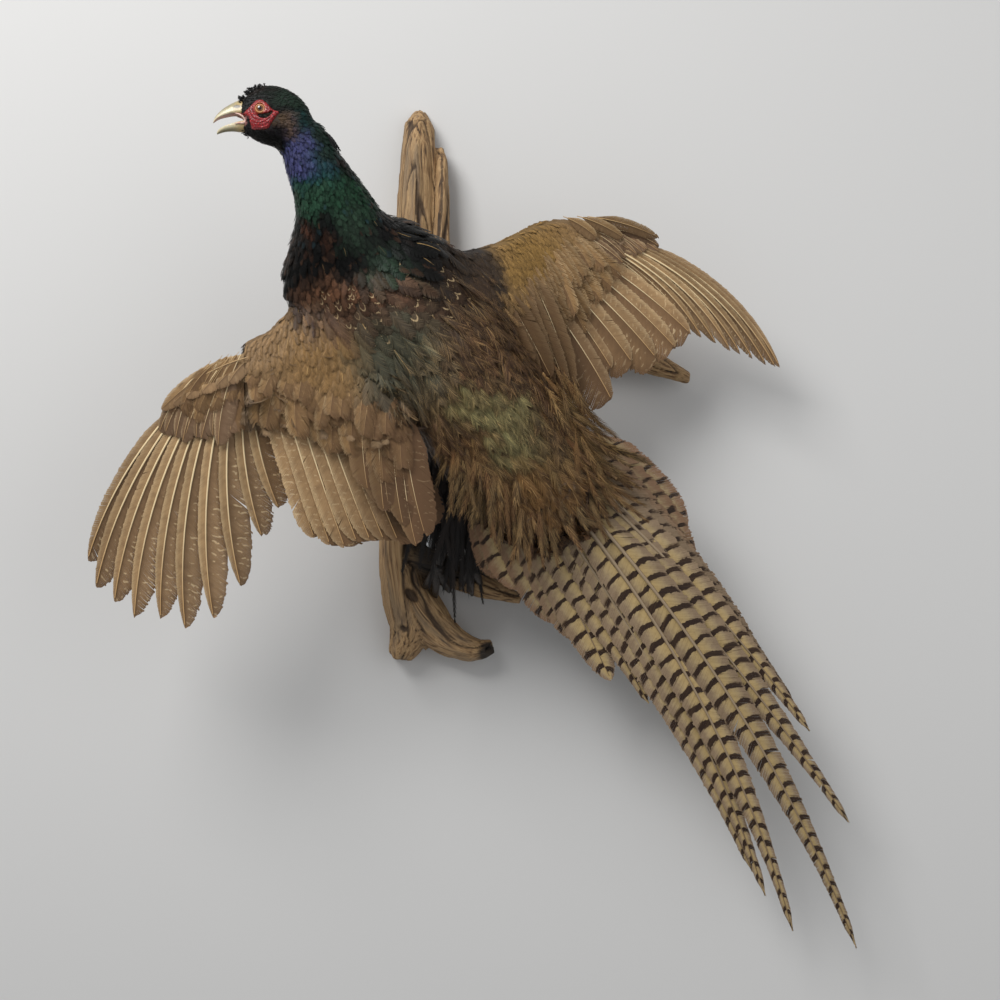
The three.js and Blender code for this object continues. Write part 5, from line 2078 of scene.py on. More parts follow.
@dataclass
class Skin:
    """The one skin under the coat, which joins the flesh nodes and lies inside them."""

    flesh: tuple[Flesh, ...] = (
        Flesh("head", 1.3, 3.6), Flesh("neck_upper", 3.5, 8), Flesh("neck_lower", 5, 13),
        Flesh("trunk", 7, 30), Flesh("wing_left_arm", 3, 14), Flesh("wing_right_arm", 3, 13),
        Flesh("thigh_left", 3.5, 14), Flesh("thigh_right", 3.5, 14),
    )
    spine: tuple[Place, ...] = (
        (-134, 240, 193), (-111, 240, 192), (-88, 238, 183), (-72, 225, 144), (-59, 197, 106),
        (-50, 179, 88), (-24, 163, 68), (10, 150, 35), (42, 142, -9), (71, 136, -54),
        (95, 129, -88), (114, 122, -118), (127, 117, -142),
    )
    bill_root: Place = (-137, 240, 192)
    arms: dict[str, tuple[tuple[Place, Place], ...]] = field(default_factory=lambda: {
        "wing_left_arm": (((-12, 170, 80), (2, 176, -58)), ((-60, 181, 62), (-20, 181, -64)),
                          ((-97, 188, 42), (-60, 186, -62)), ((-124, 194, 27), (-98, 188, -57)),
                          ((-164, 199, 6), (-146, 192, -53)), ((-187, 201, -16), (-170, 193, -56))),
        "wing_right_arm": (((16, 160, 104), (48, 152, 28)), ((69, 140, 112), (104, 136, 28)),
                           ((113, 113, 137), (145, 104, 74)), ((144, 106, 136), (166, 98, 96)),
                           ((172, 101, 131), (186, 95, 107))),
    })
    thighs: dict[str, tuple[Place, Place]] = field(default_factory=lambda: {
        "thigh_left": ((30, 118, -42), (33, 82, -112)), "thigh_right": ((74, 112, -50), (66, 78, -124)),
    })
    mounds: tuple[tuple[Place, Place, Place], ...] = (  # centre, reach and push, in mm
        ((-26, 195, 36), (58, 60, 52), (0, 9, 0)), ((-98, 185, 62), (34, 60, 56), (-13, 0, 0)),
        ((-90, 190, 44), (44, 50, 26), (-4, 0, 5)), ((-94, 187, 51), (20, 50, 16), (-9, 0, 0)),
        ((-60, 190, 100), (40, 60, 30), (0, 3, 0)), ((10, 165, 92), (30, 60, 26), (2, 3, 8)),
    )
    eased: tuple[tuple[Place, float], ...] = (((-104, 187, 48), 18.0),)  # where the surface is evened out
    ease_rounds: int = 14
    voxel: float = 2.4
    soften: int = 10  # rounds of smoothing
    fill: int = 60  # rounds in which the hollows are filled
    spine_steps: int = 400
    arm_steps: int = 60
    reach: float = 7.0  # mm over which one node's numbers give way to the next one's
    name: str = "skin"

    def build(self) -> Piece:
        """Makes the skin and writes its fields onto its points.

        Returns:
            The skin, already settled in the frame.
        """
        mesh = one_surface(self.name, tuple(part.node for part in self.flesh), self.voxel, self.soften)
        self.shape(mesh)
        skin = shown(mesh, SkinFinish())
        settle(skin, "neck_plumage", *(part.node for part in self.flesh))
        return skin

    def shape(self, mesh: Mesh) -> None:
        """Draws the surface in by the coat's depth and writes the fields that the coat reads.

        Args:
            mesh: The joined surface of the flesh nodes.
        """
        points = self.filled(mesh, values_of(mesh.vertices, "co").astype(float))
        move(mesh, points)
        mesh.update()
        normals = values_of(mesh.vertex_normals, "vector")
        weights = self.weights(points)
        depth = weights @ np.array([part.coat for part in self.flesh]) * MM
        head, nape, neck, trunk = weights.T[:4]
        on_arm, on_thigh = weights[:, 4:6].sum(1), weights[:, 6:8].sum(1)
        depth *= 1 - 0.85 * on_arm * ease(-normals[:, 1], 0.0, -0.4)  # the thin arms' lining is short
        mouth = HEAD.in_mouth(points)
        move(mesh, HEAD.open_mouth(points - normals * depth[:, None]))
        zone, turn, tangent, round_way = self.spine_place(points)
        lie = laid(self.lie(points, weights, zone, turn, tangent, round_way), normals)
        size = weights @ np.array([part.feather for part in self.flesh]) * MM
        size *= 1 - 0.45 * head * ease(points[:, 0], spot(-100, 0, 0)[0], spot(-130, 0, 0)[0])
        arm, share, chord = self.arm_place(points)
        size *= 1 + on_arm * (0.3 * ease(chord, 0.2, 0.9) - 0.4 * ease(chord, 0.3, 0.0))
        scapular = on_arm * ease(points[:, 0] / MM + 0.35 * points[:, 2] / MM, -48, -26) * (arm < 0.5)
        size *= 1 + 0.6 * scapular
        lie = laid(unit(lie + 1.2 * scapular[:, None] * (unit(spot(0.2, 0, -1)) - 0.5 * lie)), normals)
        front = ease(-normals[:, 1], -0.25, 0.15)
        low = ease(points[:, 2] / MM, 72, 60) * ease(points[:, 0] / MM, -88, -78) * front
        line = np.interp(points[:, 0] / MM, (-130, -90, -46, -8), (2, -8, -22, -36))
        bare = np.where(arm < 0.5, ease(points[:, 2] / MM - line, -5, 5), ease(chord, 0.62, 0.48))
        hidden = (arm < 0.5) & (share > 0.2)  # where the left wing's coverts hide the arm's lower edge
        fields = {
            "size": size, "mouth": mouth, "lie": lie, "up": normals, "root": points,
            "bake_x": np.where(on_arm > 0.5, 0.02 + 0.22 * arm + 0.2 * share, 0.5 + 0.48 * (turn / 2 + 0.5)),
            "bake_y": np.where(on_arm > 0.5, 0.5 * (normals[:, 1] > 0) + 0.46 * np.clip(chord, 0, 1), zone),
            "bed_face": head * ease(zone, 0.19, 0.16) * (1 - HEAD.bare(points)),
            "bed_nape": np.clip(head * ease(zone, 0.16, 0.19) + nape, 0, 1),
            "bed_neck": neck * (1 - low) + 0.3 * nape * ease(zone, 0.22, 0.3),
            "bed_mantle": np.maximum.reduce((
                trunk * ease(zone, 0.62, 0.54) * ease(np.abs(turn), 0.62, 0.5), scapular * front,
                neck * low)),
            "bed_back": trunk
            * ease(zone, 0.54, 0.6) * ease(zone, 0.84, 0.78) * ease(np.abs(turn), 0.62, 0.5),
            "bed_rump": trunk * ease(zone, 0.76, 0.82) * ease(np.abs(turn), 0.66, 0.56),
            "bed_belly": trunk * ease(np.abs(turn), 0.48, 0.58),
            "bed_shoulder": on_arm * front * (1 - scapular) * bare,
            "bed_lining": on_arm
            * np.maximum(ease(share, 0.06, 0.2), ease(points[:, 2] / MM, 20, 0))
            * np.where(hidden, ease(-normals[:, 1], -0.1, -0.3),
                       ease(-normals[:, 1], -0.3, -0.5) * ease(chord, 0.8, 0.66)),
            "bed_thigh": on_thigh,
        }
        for key, values in fields.items():
            keep(mesh, key, values)

    def filled(self, mesh: Mesh, points: Array) -> Array:
        """The points with the hollows between flesh nodes filled and the scapulars' mound raised.

        Args:
            mesh: The joined surface.
            points: Its points.

        Returns:
            The moved points.
        """
        edges = values_of(mesh.edges, "vertices", 2, np.int32)
        both = np.vstack((edges, edges[:, ::-1]))
        count = np.bincount(both[:, 0], minlength=len(points))[:, None]
        normals = values_of(mesh.vertex_normals, "vector")

        def pull() -> Array:
            """The way from each point to the middle of its neighbours."""
            sums = [np.bincount(both[:, 0], points[both[:, 1], axis], len(points)) for axis in range(3)]
            return np.stack(sums, 1) / count - points

        for _ in range(self.fill):
            step = pull()
            inward = np.minimum(np.sum(step * normals, axis=1, keepdims=True), 0)
            points = points + step - 0.96 * inward * normals
        still = points.copy()
        for centre, reach, push in self.mounds:
            far = np.linalg.norm((still - spot(*centre)) / (np.array(reach) * MM), axis=1)
            swell = ease(far, 1.0, 0.0) * ease(normals @ unit(spot(*push)), -0.2, 0.5)
            points = points + swell[:, None] * spot(*push)
        for centre, radius in self.eased:
            share = ease(np.linalg.norm(points - spot(*centre), axis=1) / MM, radius, 0.6 * radius)[:, None]
            for _ in range(self.ease_rounds):
                points = points + 0.8 * share * pull()
        return points

    def weights(self, points: Array) -> Array:
        """How far each point belongs to each flesh node, each row adding up to one.

        Args:
            points: The points.

        Returns:
            One row for each point and one column for each node.
        """
        rows = []
        for part in self.flesh:
            mesh = frame["nodes"][part.node].data
            mesh.calc_loop_triangles()
            corners = [vertex.co for vertex in mesh.vertices]
            tree = BVHTree.FromPolygons(corners, [tuple(t.vertices) for t in mesh.loop_triangles])
            rows.append([tree.find_nearest(Vector(point))[3] for point in points])
        near = np.exp(-np.array(rows).T / (self.reach * MM))
        return near / near.sum(1, keepdims=True)

    def spine_place(self, points: Array) -> tuple[Array, ...]:
        """Places points along and round the spine.

        Args:
            points: The points.

        Returns:
            The share along it, the turn round it from -1 to 1 with 0 towards the room, the
            spine's direction there, and the direction in which the turn grows.
        """
        shares = np.linspace(0, 1, self.spine_steps)
        course = along_course([spot(*place) for place in self.spine], shares)
        nearest = nearest_rows(course, points)
        tangents = unit(np.gradient(course, axis=0))
        tangent = tangents[nearest]
        away = points - course[nearest]
        ahead = np.clip(np.sum(away * tangent, axis=1) / np.linalg.norm(course[1] - course[0]), 0, 1)
        room = unit(OUT - (tangent @ OUT)[:, None] * tangent)
        round_way = np.cross(tangent, room)
        turn = np.arctan2(np.sum(away * round_way, 1), np.sum(away * room, 1)) / math.pi
        swing = np.cos(turn * math.pi)[:, None] * round_way - np.sin(turn * math.pi)[:, None] * room
        return shares[nearest] + ahead / (self.spine_steps - 1), turn, tangent, swing

    def arm_edges(self) -> list[list[Array]]:
        """Points along the leading and the trailing edge of each arm.

        Returns:
            For each arm, the two rows of points.
        """
        shares = np.linspace(0, 1, self.arm_steps)
        return [[along_course([spot(*pair[edge]) for pair in stations], shares) for edge in (0, 1)]
                for stations in self.arms.values()]

    def arm_place(self, points: Array) -> tuple[Array, ...]:
        """Places points on the nearer arm.

        Args:
            points: The points.

        Returns:
            The arm's number, the share from shoulder to hand and the share from the leading to the
            trailing edge.
        """
        best = np.full(len(points), np.inf)
        arm, share, chord = (np.zeros(len(points)) for _ in range(3))
        for number, (lead, trail) in enumerate(self.arm_edges()):
            for reached, a, b in zip(np.linspace(0, 1, self.arm_steps), lead, trail):
                across = np.clip((points - a) @ (b - a) / ((b - a) @ (b - a)), 0, 1)
                gap = np.linalg.norm(points - a - across[:, None] * (b - a), axis=1)
                closer = gap < best
                best[closer], arm[closer] = gap[closer], number
                share[closer], chord[closer] = reached, across[closer]
        return arm, share, chord

    def lie(self, points: Array, weights: Array, zone: Array, turn: Array,
            tangent: Array, round_way: Array) -> Array:
        """The direction in which the feathers lie at each point.

        Args:
            points: The points.
            weights: How far each belongs to each flesh node.
            zone: The share along the spine.
            turn: The turn round the spine.
            tangent: The spine's direction.
            round_way: The direction in which the turn grows.

        Returns:
            One direction for each point.
        """
        spread = 0.9 * ease(zone, 0.7, 0.95) * np.sin(turn * math.pi)
        body = tangent + spread[:, None] * round_way
        head = unit(points - spot(*self.bill_root)) + 0.6 * tangent
        rows = [head, body, body, body]
        for lead, trail in self.arm_edges():
            middle = (lead + trail) / 2
            nearest = nearest_rows(middle, points)
            rows.append(unit(trail - lead)[nearest] + 0.35 * unit(np.gradient(middle, axis=0))[nearest])
        for start, end in self.thighs.values():
            rows.append(np.broadcast_to(unit(spot(*end) - spot(*start)), points.shape))
        return np.einsum("pn,npk->pk", weights, np.array(rows))


# ---- legs ---------------------------------------------------------------------------------------


@dataclass(frozen=True)
class ScaleFinish(Finish):
    """Leg scales: grey brown plates, dark joints and dark horn on the claws, all darkened nearly to black as
    painted shade for the shadow under the body.
    """

    name: str = "leg_scales"
    # Painted shade: the plates' colour is darkened for the shadow under the body.
    shaded_plate: Colour = paint(42, 34, 27)
    joint: Colour = paint(20, 16, 12)
    horn: Colour = paint(26, 20, 16)

    def dress(self, shader: Shader) -> Material:
        """Builds the material's graph.

        Args:
            shader: The empty graph to build.

        Returns:
            The finished material.
        """
        scute, claw = shader.mark("scute"), shader.mark("claw")
        colour = shader.blend(shader.step(scute, 0.3, 0.02), self.shaded_plate, self.joint)
        colour = shader.cover(colour, paint(50, 39, 30), shader.step(shader.noise(240.0), 0.4, 0.7), 0.5)
        colour = shader.blend(claw, colour, self.horn)
        return shader.close(colour, 0.42, shader.bumped(shader.noise(1600.0), 0.4, 0.0003), Coat_Weight=0.12)


@dataclass
class Leg:
    """A bare shank with its spur, and four toes that grip the wood."""

    side: Side
    shank: tuple[Place, ...]
    ball: Place
    leans: tuple[float, ...]
    wrap: float
    shank_radius: tuple[float, ...] = (5.6, 4.0, 4.6)
    toe_radius: tuple[float, ...] = (4.2, 3.7, 3.1, 2.0)
    toe_length: tuple[float, ...] = (26, 30, 25, 12)
    scute: float = 2.6
    sides: int = 16

    def build(self) -> None:
        """Makes the shank and the foot."""
        label = self.side.name.lower()
        shank = Draft(f"shank_scaled_{label}")
        self.tube(shank, [spot(*place) for place in self.shank], self.shank_radius, 90)
        middle = spot(*self.shank[1])
        behind = unit(np.array((0.25 * self.side.value, 0.9, -0.35)))
        spur = [middle + behind * reach * MM + spot(0, 0, -0.08 * reach**2) for reach in (2, 6, 9, 11)]
        self.tube(shank, spur, (2.8, 2.0, 1.0, 0.2), 16, claw=True)
        settle(shank.finished(ScaleFinish()), "leg_scales", f"shank_{label}")
        foot = Draft(f"foot_scaled_{label}")
        ball = np.array(self.ball, float)
        for lean, length in zip(self.leans, self.toe_length):
            angle = math.radians(lean)
            way = np.array((math.sin(angle), 0, -math.cos(angle)))
            stops = [(0, 0), (0.4, 1), (0.75, self.wrap * 0.3), (0.96, self.wrap * 0.8)]
            places = [spot(*(ball + way * length * share - (0, drop, 0))) for share, drop in stops]
            self.tube(foot, places, self.toe_radius, 60)
            tips = [spot(*(ball + way * length * share - (0, drop, 0)))
                    for share, drop in ((0.93, self.wrap * 0.72), (1.02, self.wrap * 0.95),
                                        (0.98, self.wrap * 1.12), (0.86, self.wrap * 1.2))]
            self.tube(foot, tips, (2.1, 1.7, 1.0, 0.2), 14, claw=True)
        palm = [spot(*(ball + (0, off, 0))) for off in (6.0, 2.5, -2.5, -6.0)]
        self.tube(foot, palm, (1.5, 6.0, 6.0, 1.5), 12)
        settle(foot.finished(ScaleFinish()), "leg_scales", f"foot_{label}")

    def tube(self, draft: Draft, places: list[Array], radii: tuple[float, ...], rings: int,
             claw: bool = False) -> None:
        """Adds a round part with a row of scutes along its front.

        Args:
            draft: The mesh that it joins.
            places: Its centreline.
            radii: Its radius at each of them, in mm.
            rings: How many rings it has.
            claw: Whether it is smooth horn instead.
        """
        shares = np.linspace(0, 1, rings)
        line = along_course(np.array(places), shares)
        radius = np.interp(shares, np.linspace(0, 1, len(radii)), radii)
        radius[[0, -1]] = 0.01
        way = unit(np.gradient(line, axis=0))
        across = unit(np.cross(way, OUT + (0.01, 0, 0.01)))
        front = np.cross(across, way)
        angle = np.arange(self.sides) / self.sides * 2 * math.pi
        length = np.cumsum(np.linalg.norm(np.diff(line, axis=0, prepend=line[:1]), axis=1)) / MM
        turn = (length / self.scute) % 1
        shown_front = ease(np.sin(angle), -0.5, 0.2)
        scute = np.where(claw, 1.0, turn[:, None] + 0 * angle)
        swell = 1 + (0 if claw else 0.09) * (turn[:, None] - 0.4) * shown_front
        cell = np.abs(np.sin(angle * 5)) * (1 - shown_front)
        size = radius[:, None] * swell * MM
        points = line[:, None] + size[..., None] * (np.cos(angle)[:, None] * across[:, None]
                                                    + np.sin(angle)[:, None] * front[:, None])
        inward = np.cross(points[0, 1] - points[0, 0], way[0]) @ (points[0, 0] - line[0]) <= 0
        draft.add(points.reshape(-1, 3), tube_faces(rings, self.sides, inward),
                  scute=(scute * (1 - 0.5 * cell)).ravel(), claw=float(claw))


LEGS = (
    Leg(Side.LEFT, ((33, 82, -112), (25, 66, -146), (16, 55, -172)), (15, 52, -176), (-34, -6, 22, 165), 32),
    Leg(Side.RIGHT, ((66, 78, -124), (56, 66, -148), (45, 55, -169)), (44, 52, -172), (-20, 4, 27, 175), 28),
)


# ---- driftwood ----------------------------------------------------------------------------------


@dataclass(frozen=True)
class WoodFinish(Finish):
    """Weathered wood: tan fibres and grey brown patches, with painted shade that darkens its cracks and knot
    pits nearly to black, and two painted shade patches, behind the legs and at the lower branch's tip.
    """

    name: str = "driftwood"
    light: Colour = paint(176, 144, 102)
    middle: Colour = paint(136, 105, 70)
    grey: Colour = paint(114, 98, 78)
    # Painted shade: a near-black patch behind the legs, where the body's shadow falls on the wood.
    shade_behind_legs: Patch = Patch((18, 50, -156), (32, 90, 44), paint(14, 11, 8), 0.4, 0.94)
    # Painted shade: a near-black patch over the knot at the lower branch's tip.
    shade_at_tip: Patch = Patch((61, 25, -257), (9, 60, 10), paint(12, 9, 7), 0.35, 0.92)
    dark: Colour = paint(46, 31, 20)

    def dress(self, shader: Shader) -> Material:
        """Builds the material's graph.

        Args:
            shader: The empty graph to build.

        Returns:
            The finished material.
        """
        grain, hollow = shader.vector("grain"), shader.mark("hollow")
        broad = shader.noise(1.0, shader.stretched((90, 90, 7), grain), 3.0)
        fibre = shader.noise(1.0, shader.stretched((420, 420, 16), grain), 4.0)
        fine = shader.noise(1.0, shader.stretched((1500, 1500, 40), grain), 3.0)
        stops = ((0.3, self.dark), (0.42, self.middle), (0.56, self.light), (0.72, self.middle))
        colour = shader.ramp(fibre, *stops)
        colour = shader.cover(colour, self.grey, shader.step(broad, 0.5, 0.72), 0.7)
        colour = shader.cover(colour, self.dark, shader.step(fine, 0.52, 0.7), 0.4)
        # Painted shade: the cracks and knot pits are darkened by their depth.
        colour = shader.cover(colour, self.dark, shader.step(hollow, 0.15, 0.8), 0.85)
        # The two painted shade patches go over the wood's colour.
        for patch in (self.shade_behind_legs, self.shade_at_tip):
            colour = patch.lay(shader, shader.place, colour)
        height = shader.shifted(fibre, (fine, 0.5))
        return shader.close(colour, 0.78, shader.bumped(height, 0.6, 0.0012))


@dataclass(frozen=True)
class Knot:
    """A hollow knot in the wood's face, in mm."""

    x: float
    z: float
    long: float
    wide: float
    lean: float  # of its long way from level, in degrees
    deep: float


@dataclass
class Driftwood:
    """The driftwood: fibrous limbs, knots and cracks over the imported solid, with a flat back."""

    members: tuple[tuple[tuple[float, float, float], ...], ...] = (  # x, z and half width
        ((-2, 254, 5), (-5, 205, 17), (-7, 70, 24), (-9, 0, 26), (-15, -90, 25), (-21, -150, 22),
         (-16, -195, 25), (-12, -235, 21), (-22, -262, 11)),
        ((17, 219, 3.5), (18, 196, 6), (17, 140, 10), (12, 80, 12)),
        ((-16, -180, 20), (-4, -215, 22), (24, -243, 17), (48, -254, 12), (66, -250, 7)),
        ((-14, -168, 18), (16, -178, 13), (46, -189, 14), (66, -197, 10), (92, -206, 5)),
        ((0, 92, 15), (70, 70, 17), (150, 44, 16), (214, 16, 12), (250, 0, 5)),
    )
    knots: tuple[Knot, ...] = (
        Knot(-9, -202, 11, 5.5, -48, 5.0), Knot(-17, -233, 5.5, 3.6, -30, 2.4),
        Knot(63, -252, 5.0, 4.0, 20, 6.0), Knot(-2, 96, 7, 4, 80, 3.0), Knot(30, -186, 6, 3, -10, 3.0),
    )
    voxel: float = 1.7
    soften: int = 8
    groove: float = 2.3  # depths in mm
    fold: float = 2.4
    steps: int = 200  # points read along each member

    def build(self) -> None:
        """Makes the wood."""
        mesh = one_surface("driftwood_body", ("driftwood",), self.voxel, self.soften)
        self.carve(mesh)
        mesh.shade_smooth()
        settle(shown(mesh, WoodFinish()), "driftwood", "driftwood")

    def carve(self, mesh: Mesh) -> None:
        """Cuts the grain, the folds and the knots into the surface.

        Args:
            mesh: The wood's even surface.
        """
        points = values_of(mesh.vertices, "co").astype(float)
        normals = values_of(mesh.vertex_normals, "vector")
        grain = self.grain(points)
        depth, hollow = np.zeros(len(points)), np.zeros(len(points))
        for i, (u, v, s) in enumerate(grain):
            broad = noise.noise(Vector((u * 55, v * 55, s * 5)))
            rib = noise.noise(Vector((u * 150 + 9, v * 150, s * 8)))
            fine = noise.noise(Vector((u * 420, v * 420 + 5, s * 14)))
            crack = max(0.0, 1 - abs(noise.noise(Vector((u * 75 + 30, v * 75, s * 4)))) * 11)
            depth[i] = self.fold * broad + self.groove * 0.6 * rib + 0.5 * fine - 2.6 * crack
            hollow[i] = crack * 0.9 + max(0.0, -rib * 0.9)
        for knot in self.knots:
            away = points[:, (0, 2)] / MM - (knot.x, knot.z)
            lean = math.radians(knot.lean)
            length = (away[:, 0] * math.cos(lean) + away[:, 1] * math.sin(lean)) / knot.long
            width = (away[:, 1] * math.cos(lean) - away[:, 0] * math.sin(lean)) / knot.wide
            far = np.hypot(length, width)
            front = ease(-normals[:, 1], 0.0, 0.4)
            pit = ease(far, 1.0, 0.45) * front
            rim = np.exp(-((far - 1.25) / 0.28) ** 2) * front
            depth += 1.4 * rim - knot.deep * pit
            hollow = np.maximum(hollow, pit)
        free = ease(-points[:, 1] / MM, 0.4, 5.0)
        points += normals * (depth * free * MM)[:, None]
        points[:, 1] = np.minimum(points[:, 1], 0.0)
        move(mesh, points)
        keep(mesh, "grain", grain)
        # How deep each point lies in a crack or knot pit, which the finish darkens as painted shade.
        keep(mesh, "hollow", hollow * free)

    def grain(self, points: Array) -> Array:
        """Places points in their limb: across it, off the wall and along it, in metres.

        Args:
            points: The points, in metres.

        Returns:
            The three numbers of each point.
        """
        best = np.full(len(points), np.inf)
        grain = np.zeros((len(points), 3))
        for number, member in enumerate(self.members):
            line = along_course(np.array(member) * MM, np.linspace(0, 1, self.steps))
            nearest = nearest_rows(np.insert(line[:, :2], 1, 0, axis=1), points * (1, 0, 1))
            way = unit(np.gradient(line[:, :2], axis=0))[nearest]
            away = points[:, (0, 2)] - line[nearest, :2]
            across = away[:, 0] * way[:, 1] - away[:, 1] * way[:, 0]
            length = np.cumsum(np.linalg.norm(np.diff(line[:, :2], axis=0, prepend=line[:1, :2]), axis=1))
            far = np.linalg.norm(away, axis=1) / line[nearest, 2]
            closer = far < best
            best[closer] = far[closer]
            grain[closer] = np.stack((across + number * 0.2, points[:, 1], length[nearest]), 1)[closer]
        return grain


# ---- rump ---------------------------------------------------------------------------------------


@dataclass
class Tiers:
    """Long hair-like plumes that hang in tiers, each one over the tier below."""

    name: str
    starts: tuple[Place, ...]
    ends: tuple[Place, ...]
    climb: Place  # how far each tier's roots stand over the tier below
    fall: Place
    tiers: int
    count: int
    finish: Finish
    give: float
    cut: Cut = Cut(Outline.SOFT, barbs=24, steps=3, sweep=4.6, bare=0.02, full=0.2, end=0.3, cup=0.1,
                   fray=0.8, loose=0.45, part=0.8, shaft=0.16 * MM, rings=6, sides=3)

    def row(self, tier: int) -> Row:
        """A row of plumes, counted from the lowest.

        Args:
            tier: Its number, from 0.

        Returns:
            The row.
        """
        roots = tuple(tuple(np.add(place, np.multiply(self.climb, tier))) for place in self.starts)
        tips = tuple(tuple(np.add(place, np.multiply(self.fall, tier))) for place in self.ends)
        return Row(roots, tips, self.count, 7.5, stray=6.5, uneven=0.25, sunk=-1.0, give=self.give)

    def build(self, skin: BVHTree, seed: int) -> None:
        """Makes the plumes.

        Args:
            skin: The skin that their roots are set in.
            seed: What chance draws start from.
        """
        rng = np.random.default_rng(seed)
        plumes = [feather for tier in range(self.tiers) for feather in self.row(tier).feathers(rng, skin)]
        settle(draw_feathers(self.name, plumes, self.cut, seed + 1, self.finish, self.finish),
               "back_plumage")


@dataclass(frozen=True)
class StrandFinish(Finish):
    """Loose plumes whose strands are pale and dark, redder on the bird's right than on its left."""

    name: str
    left: Colour = paint(104, 70, 40)
    right: Colour = paint(98, 78, 50)
    pale: Colour = paint(190, 154, 100)
    dark: Colour = paint(36, 25, 17)
    pale_share: float = 0.7

    def dress(self, shader: Shader) -> Material:
        """Builds the material's graph.

        Args:
            shader: The empty graph to build.

        Returns:
            The finished material.
        """
        along, tone, barb = map(shader.mark, ("along", "tone", "barb"))
        share = shader.shifted(0.0, (shader.noise(28.0, detail=2.0), 0.8), (tone, 0.3))
        colour = shader.blend(shader.step(share, 0.4, 0.7), self.left, self.right)
        strand = shader.noise(900.0, shader.joined(barb, tone), 1.0)
        colour = shader.cover(colour, self.pale, shader.step(strand, 0.52, 0.62), self.pale_share)
        colour = shader.cover(colour, self.dark, shader.step(strand, 0.48, 0.4), 0.8)
        colour = shader.cover(colour, self.dark, shader.step(along, 0.3, 1.0), 0.3)
        return shader.close(colour, 0.5, Specular_IOR_Level=0.25)


RUMP = Tiers(
    "rump_covers",
    ((60, 170, -86), (84, 175, -97), (110, 172, -100), (128, 162, -92), (138, 152, -80), (142, 146, -64)),
    ((44, 140, -120), (80, 146, -149), (116, 142, -151), (148, 134, -132), (172, 126, -114),
     (186, 122, -92)),
    (-7, 5, 15), (-8, 6, 12), 5, 56, StrandFinish("rump_cover"), give=22.0)
# Dark feathers under the body, whose near-black colour is also painted shade for the shadow there.
FLANK = Tiers(
    "flank_plumes",
    ((10, 122, -72), (34, 108, -100), (56, 100, -112), (84, 96, -112)),
    ((-8, 98, -140), (22, 84, -168), (50, 74, -176), (86, 74, -168)),
    (0, -8, 8), (2, -10, 8), 6, 36,
    StrandFinish("flank_plume", paint(34, 26, 22), paint(24, 20, 18), paint(60, 46, 36), paint(10, 9, 8),
                 0.4),
    give=0.0)


# ---- studio -------------------------------------------------------------------------------------


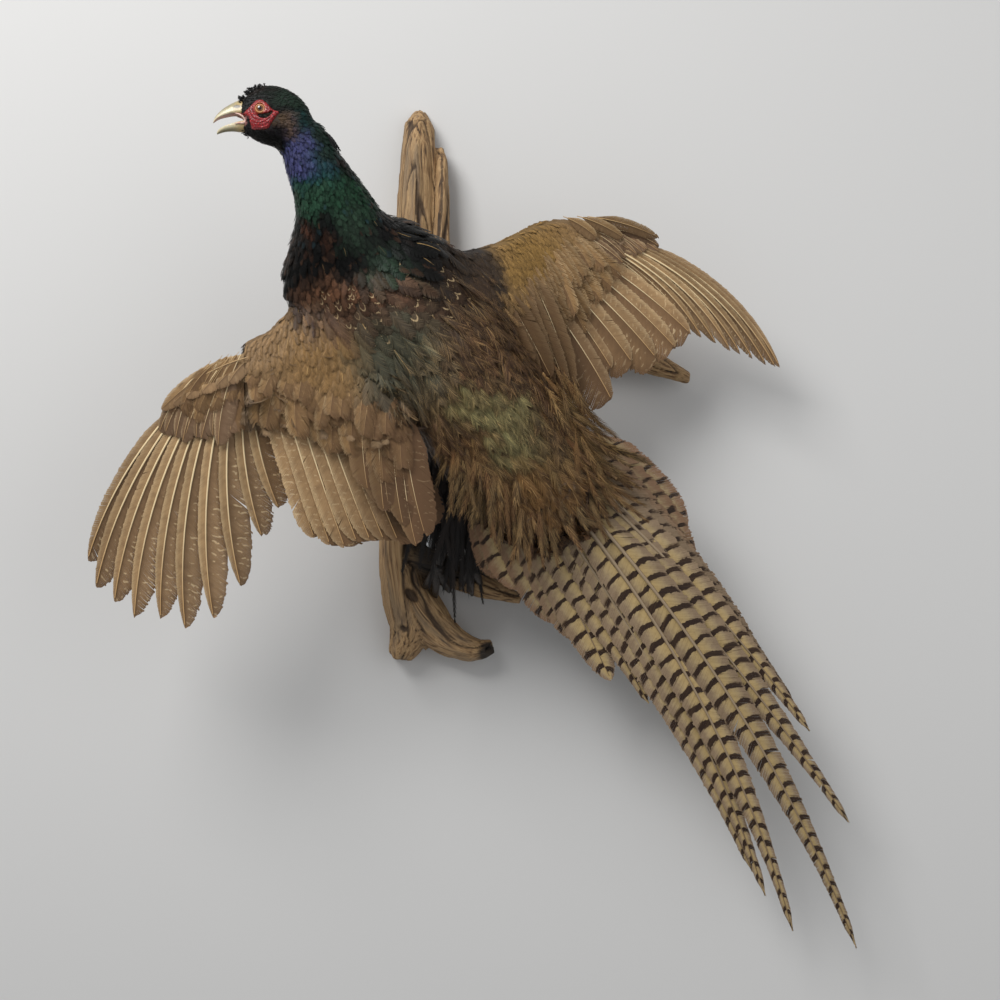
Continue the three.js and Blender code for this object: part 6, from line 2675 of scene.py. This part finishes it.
@dataclass
class Studio:
    """The camera, a plain pale wall, soft lamps and the light around."""

    camera: Place = (72.2, 1500, -114)
    lens: float = 56.84
    sensor: float = 36.0
    wall: Colour = paint(205, 204, 202)
    corners: tuple[Place, Place] = ((-4000, -1, -3000), (4000, -1, 4000))
    lamps: tuple[tuple[str, Place, float, float], ...] = (
        ("key", (-900, 1500, 1300), 1.1, 44.0), ("fill", (1300, 1500, 200), 1.6, 7.0))
    aim: Place = (20, 100, -60)
    sky: Colour = (0.95, 0.97, 1.0, 1.0)
    sky_strength: float = 0.36
    opening: tuple[Place, Place] = ((-24, -1, -190), (8, -1, 190))  # lets light reach the wood's back

    def build(self) -> None:
        """Makes the camera, the wall, the lamps and the light around."""
        scene = bpy.context.scene
        camera = bpy.data.objects.new("camera", bpy.data.cameras.new("camera"))
        camera.data.lens = self.lens
        camera.data.sensor_width = self.sensor
        camera.location = spot(*self.camera)
        camera.rotation_euler = (math.pi / 2, 0, 0)
        scene.collection.objects.link(camera)
        scene.camera = camera
        self.build_wall()
        for lamp in self.lamps:
            self.lamp(*lamp)
        world = bpy.data.worlds.new("studio")
        scene.world = world
        world.use_nodes = True
        sky = world.node_tree.nodes["Background"].inputs
        sky["Color"].default_value = self.sky
        sky["Strength"].default_value = self.sky_strength
        scene.view_settings.view_transform = "Standard"

    def build_wall(self) -> None:
        """Makes the wall round its opening, which only shows from the room's side."""
        mesh = bpy.data.meshes.new("wall")
        rings = []
        for places in (self.corners, self.opening):
            low, high = (spot(*place) for place in places)
            rings += [low, (high[0], low[1], low[2]), high, (low[0], low[1], high[2])]
        mesh.from_pydata(rings, [], [(k, (k + 1) % 4, (k + 1) % 4 + 4, k + 4) for k in range(4)])
        shader = Shader("pale_wall")
        plain = shader.put("ShaderNodeBsdfPrincipled", {"Base Color": self.wall, "Roughness": 0.9})
        clear = shader.put("ShaderNodeBsdfTransparent")
        behind = shader.put("ShaderNodeNewGeometry").outputs["Backfacing"]
        mix = shader.put("ShaderNodeMixShader", {0: behind, 1: plain.outputs[0], 2: clear.outputs[0]})
        shader.put("ShaderNodeOutputMaterial", {"Surface": mix.outputs[0]})
        mesh.materials.append(shader.material)
        wall = bpy.data.objects.new("wall", mesh)
        bpy.context.scene.collection.objects.link(wall)

    def lamp(self, name: str, place: Place, size: float, power: float) -> None:
        """Adds a square soft lamp that faces the bird.

        Args:
            name: Its name.
            place: Where it stands.
            size: The length of its side, in metres.
            power: Its power, in watts.
        """
        lamp = bpy.data.objects.new(name, bpy.data.lights.new(name, "AREA"))
        lamp.data.size = size
        lamp.data.energy = power
        lamp.location = spot(*place)
        aim = Vector(spot(*self.aim)) - lamp.location
        lamp.rotation_euler = aim.to_track_quat("-Z", "Y").to_euler()
        bpy.context.scene.collection.objects.link(lamp)


def main() -> None:
    """Builds every part in order."""
    logging.basicConfig(level=logging.INFO, format="%(name)s %(message)s")
    Studio().build()
    skin = Skin().build()
    tree = plumage_tree()
    for number, bed in enumerate(BEDS):
        bed.grow(skin, tree, seed=500 + number)
    HEAD.build(skin, seed=400)
    for leg in LEGS:
        leg.build()
    Driftwood().build()
    Tail().build(seed=300)
    surface = BVHTree.FromObject(skin, bpy.context.evaluated_depsgraph_get())
    LEFT_WING.build(surface, seed=100)
    RIGHT_WING.build(surface, seed=200)
    RUMP.build(surface, seed=700)
    FLANK.build(surface, seed=720)


if __name__ == "__main__":
    main()
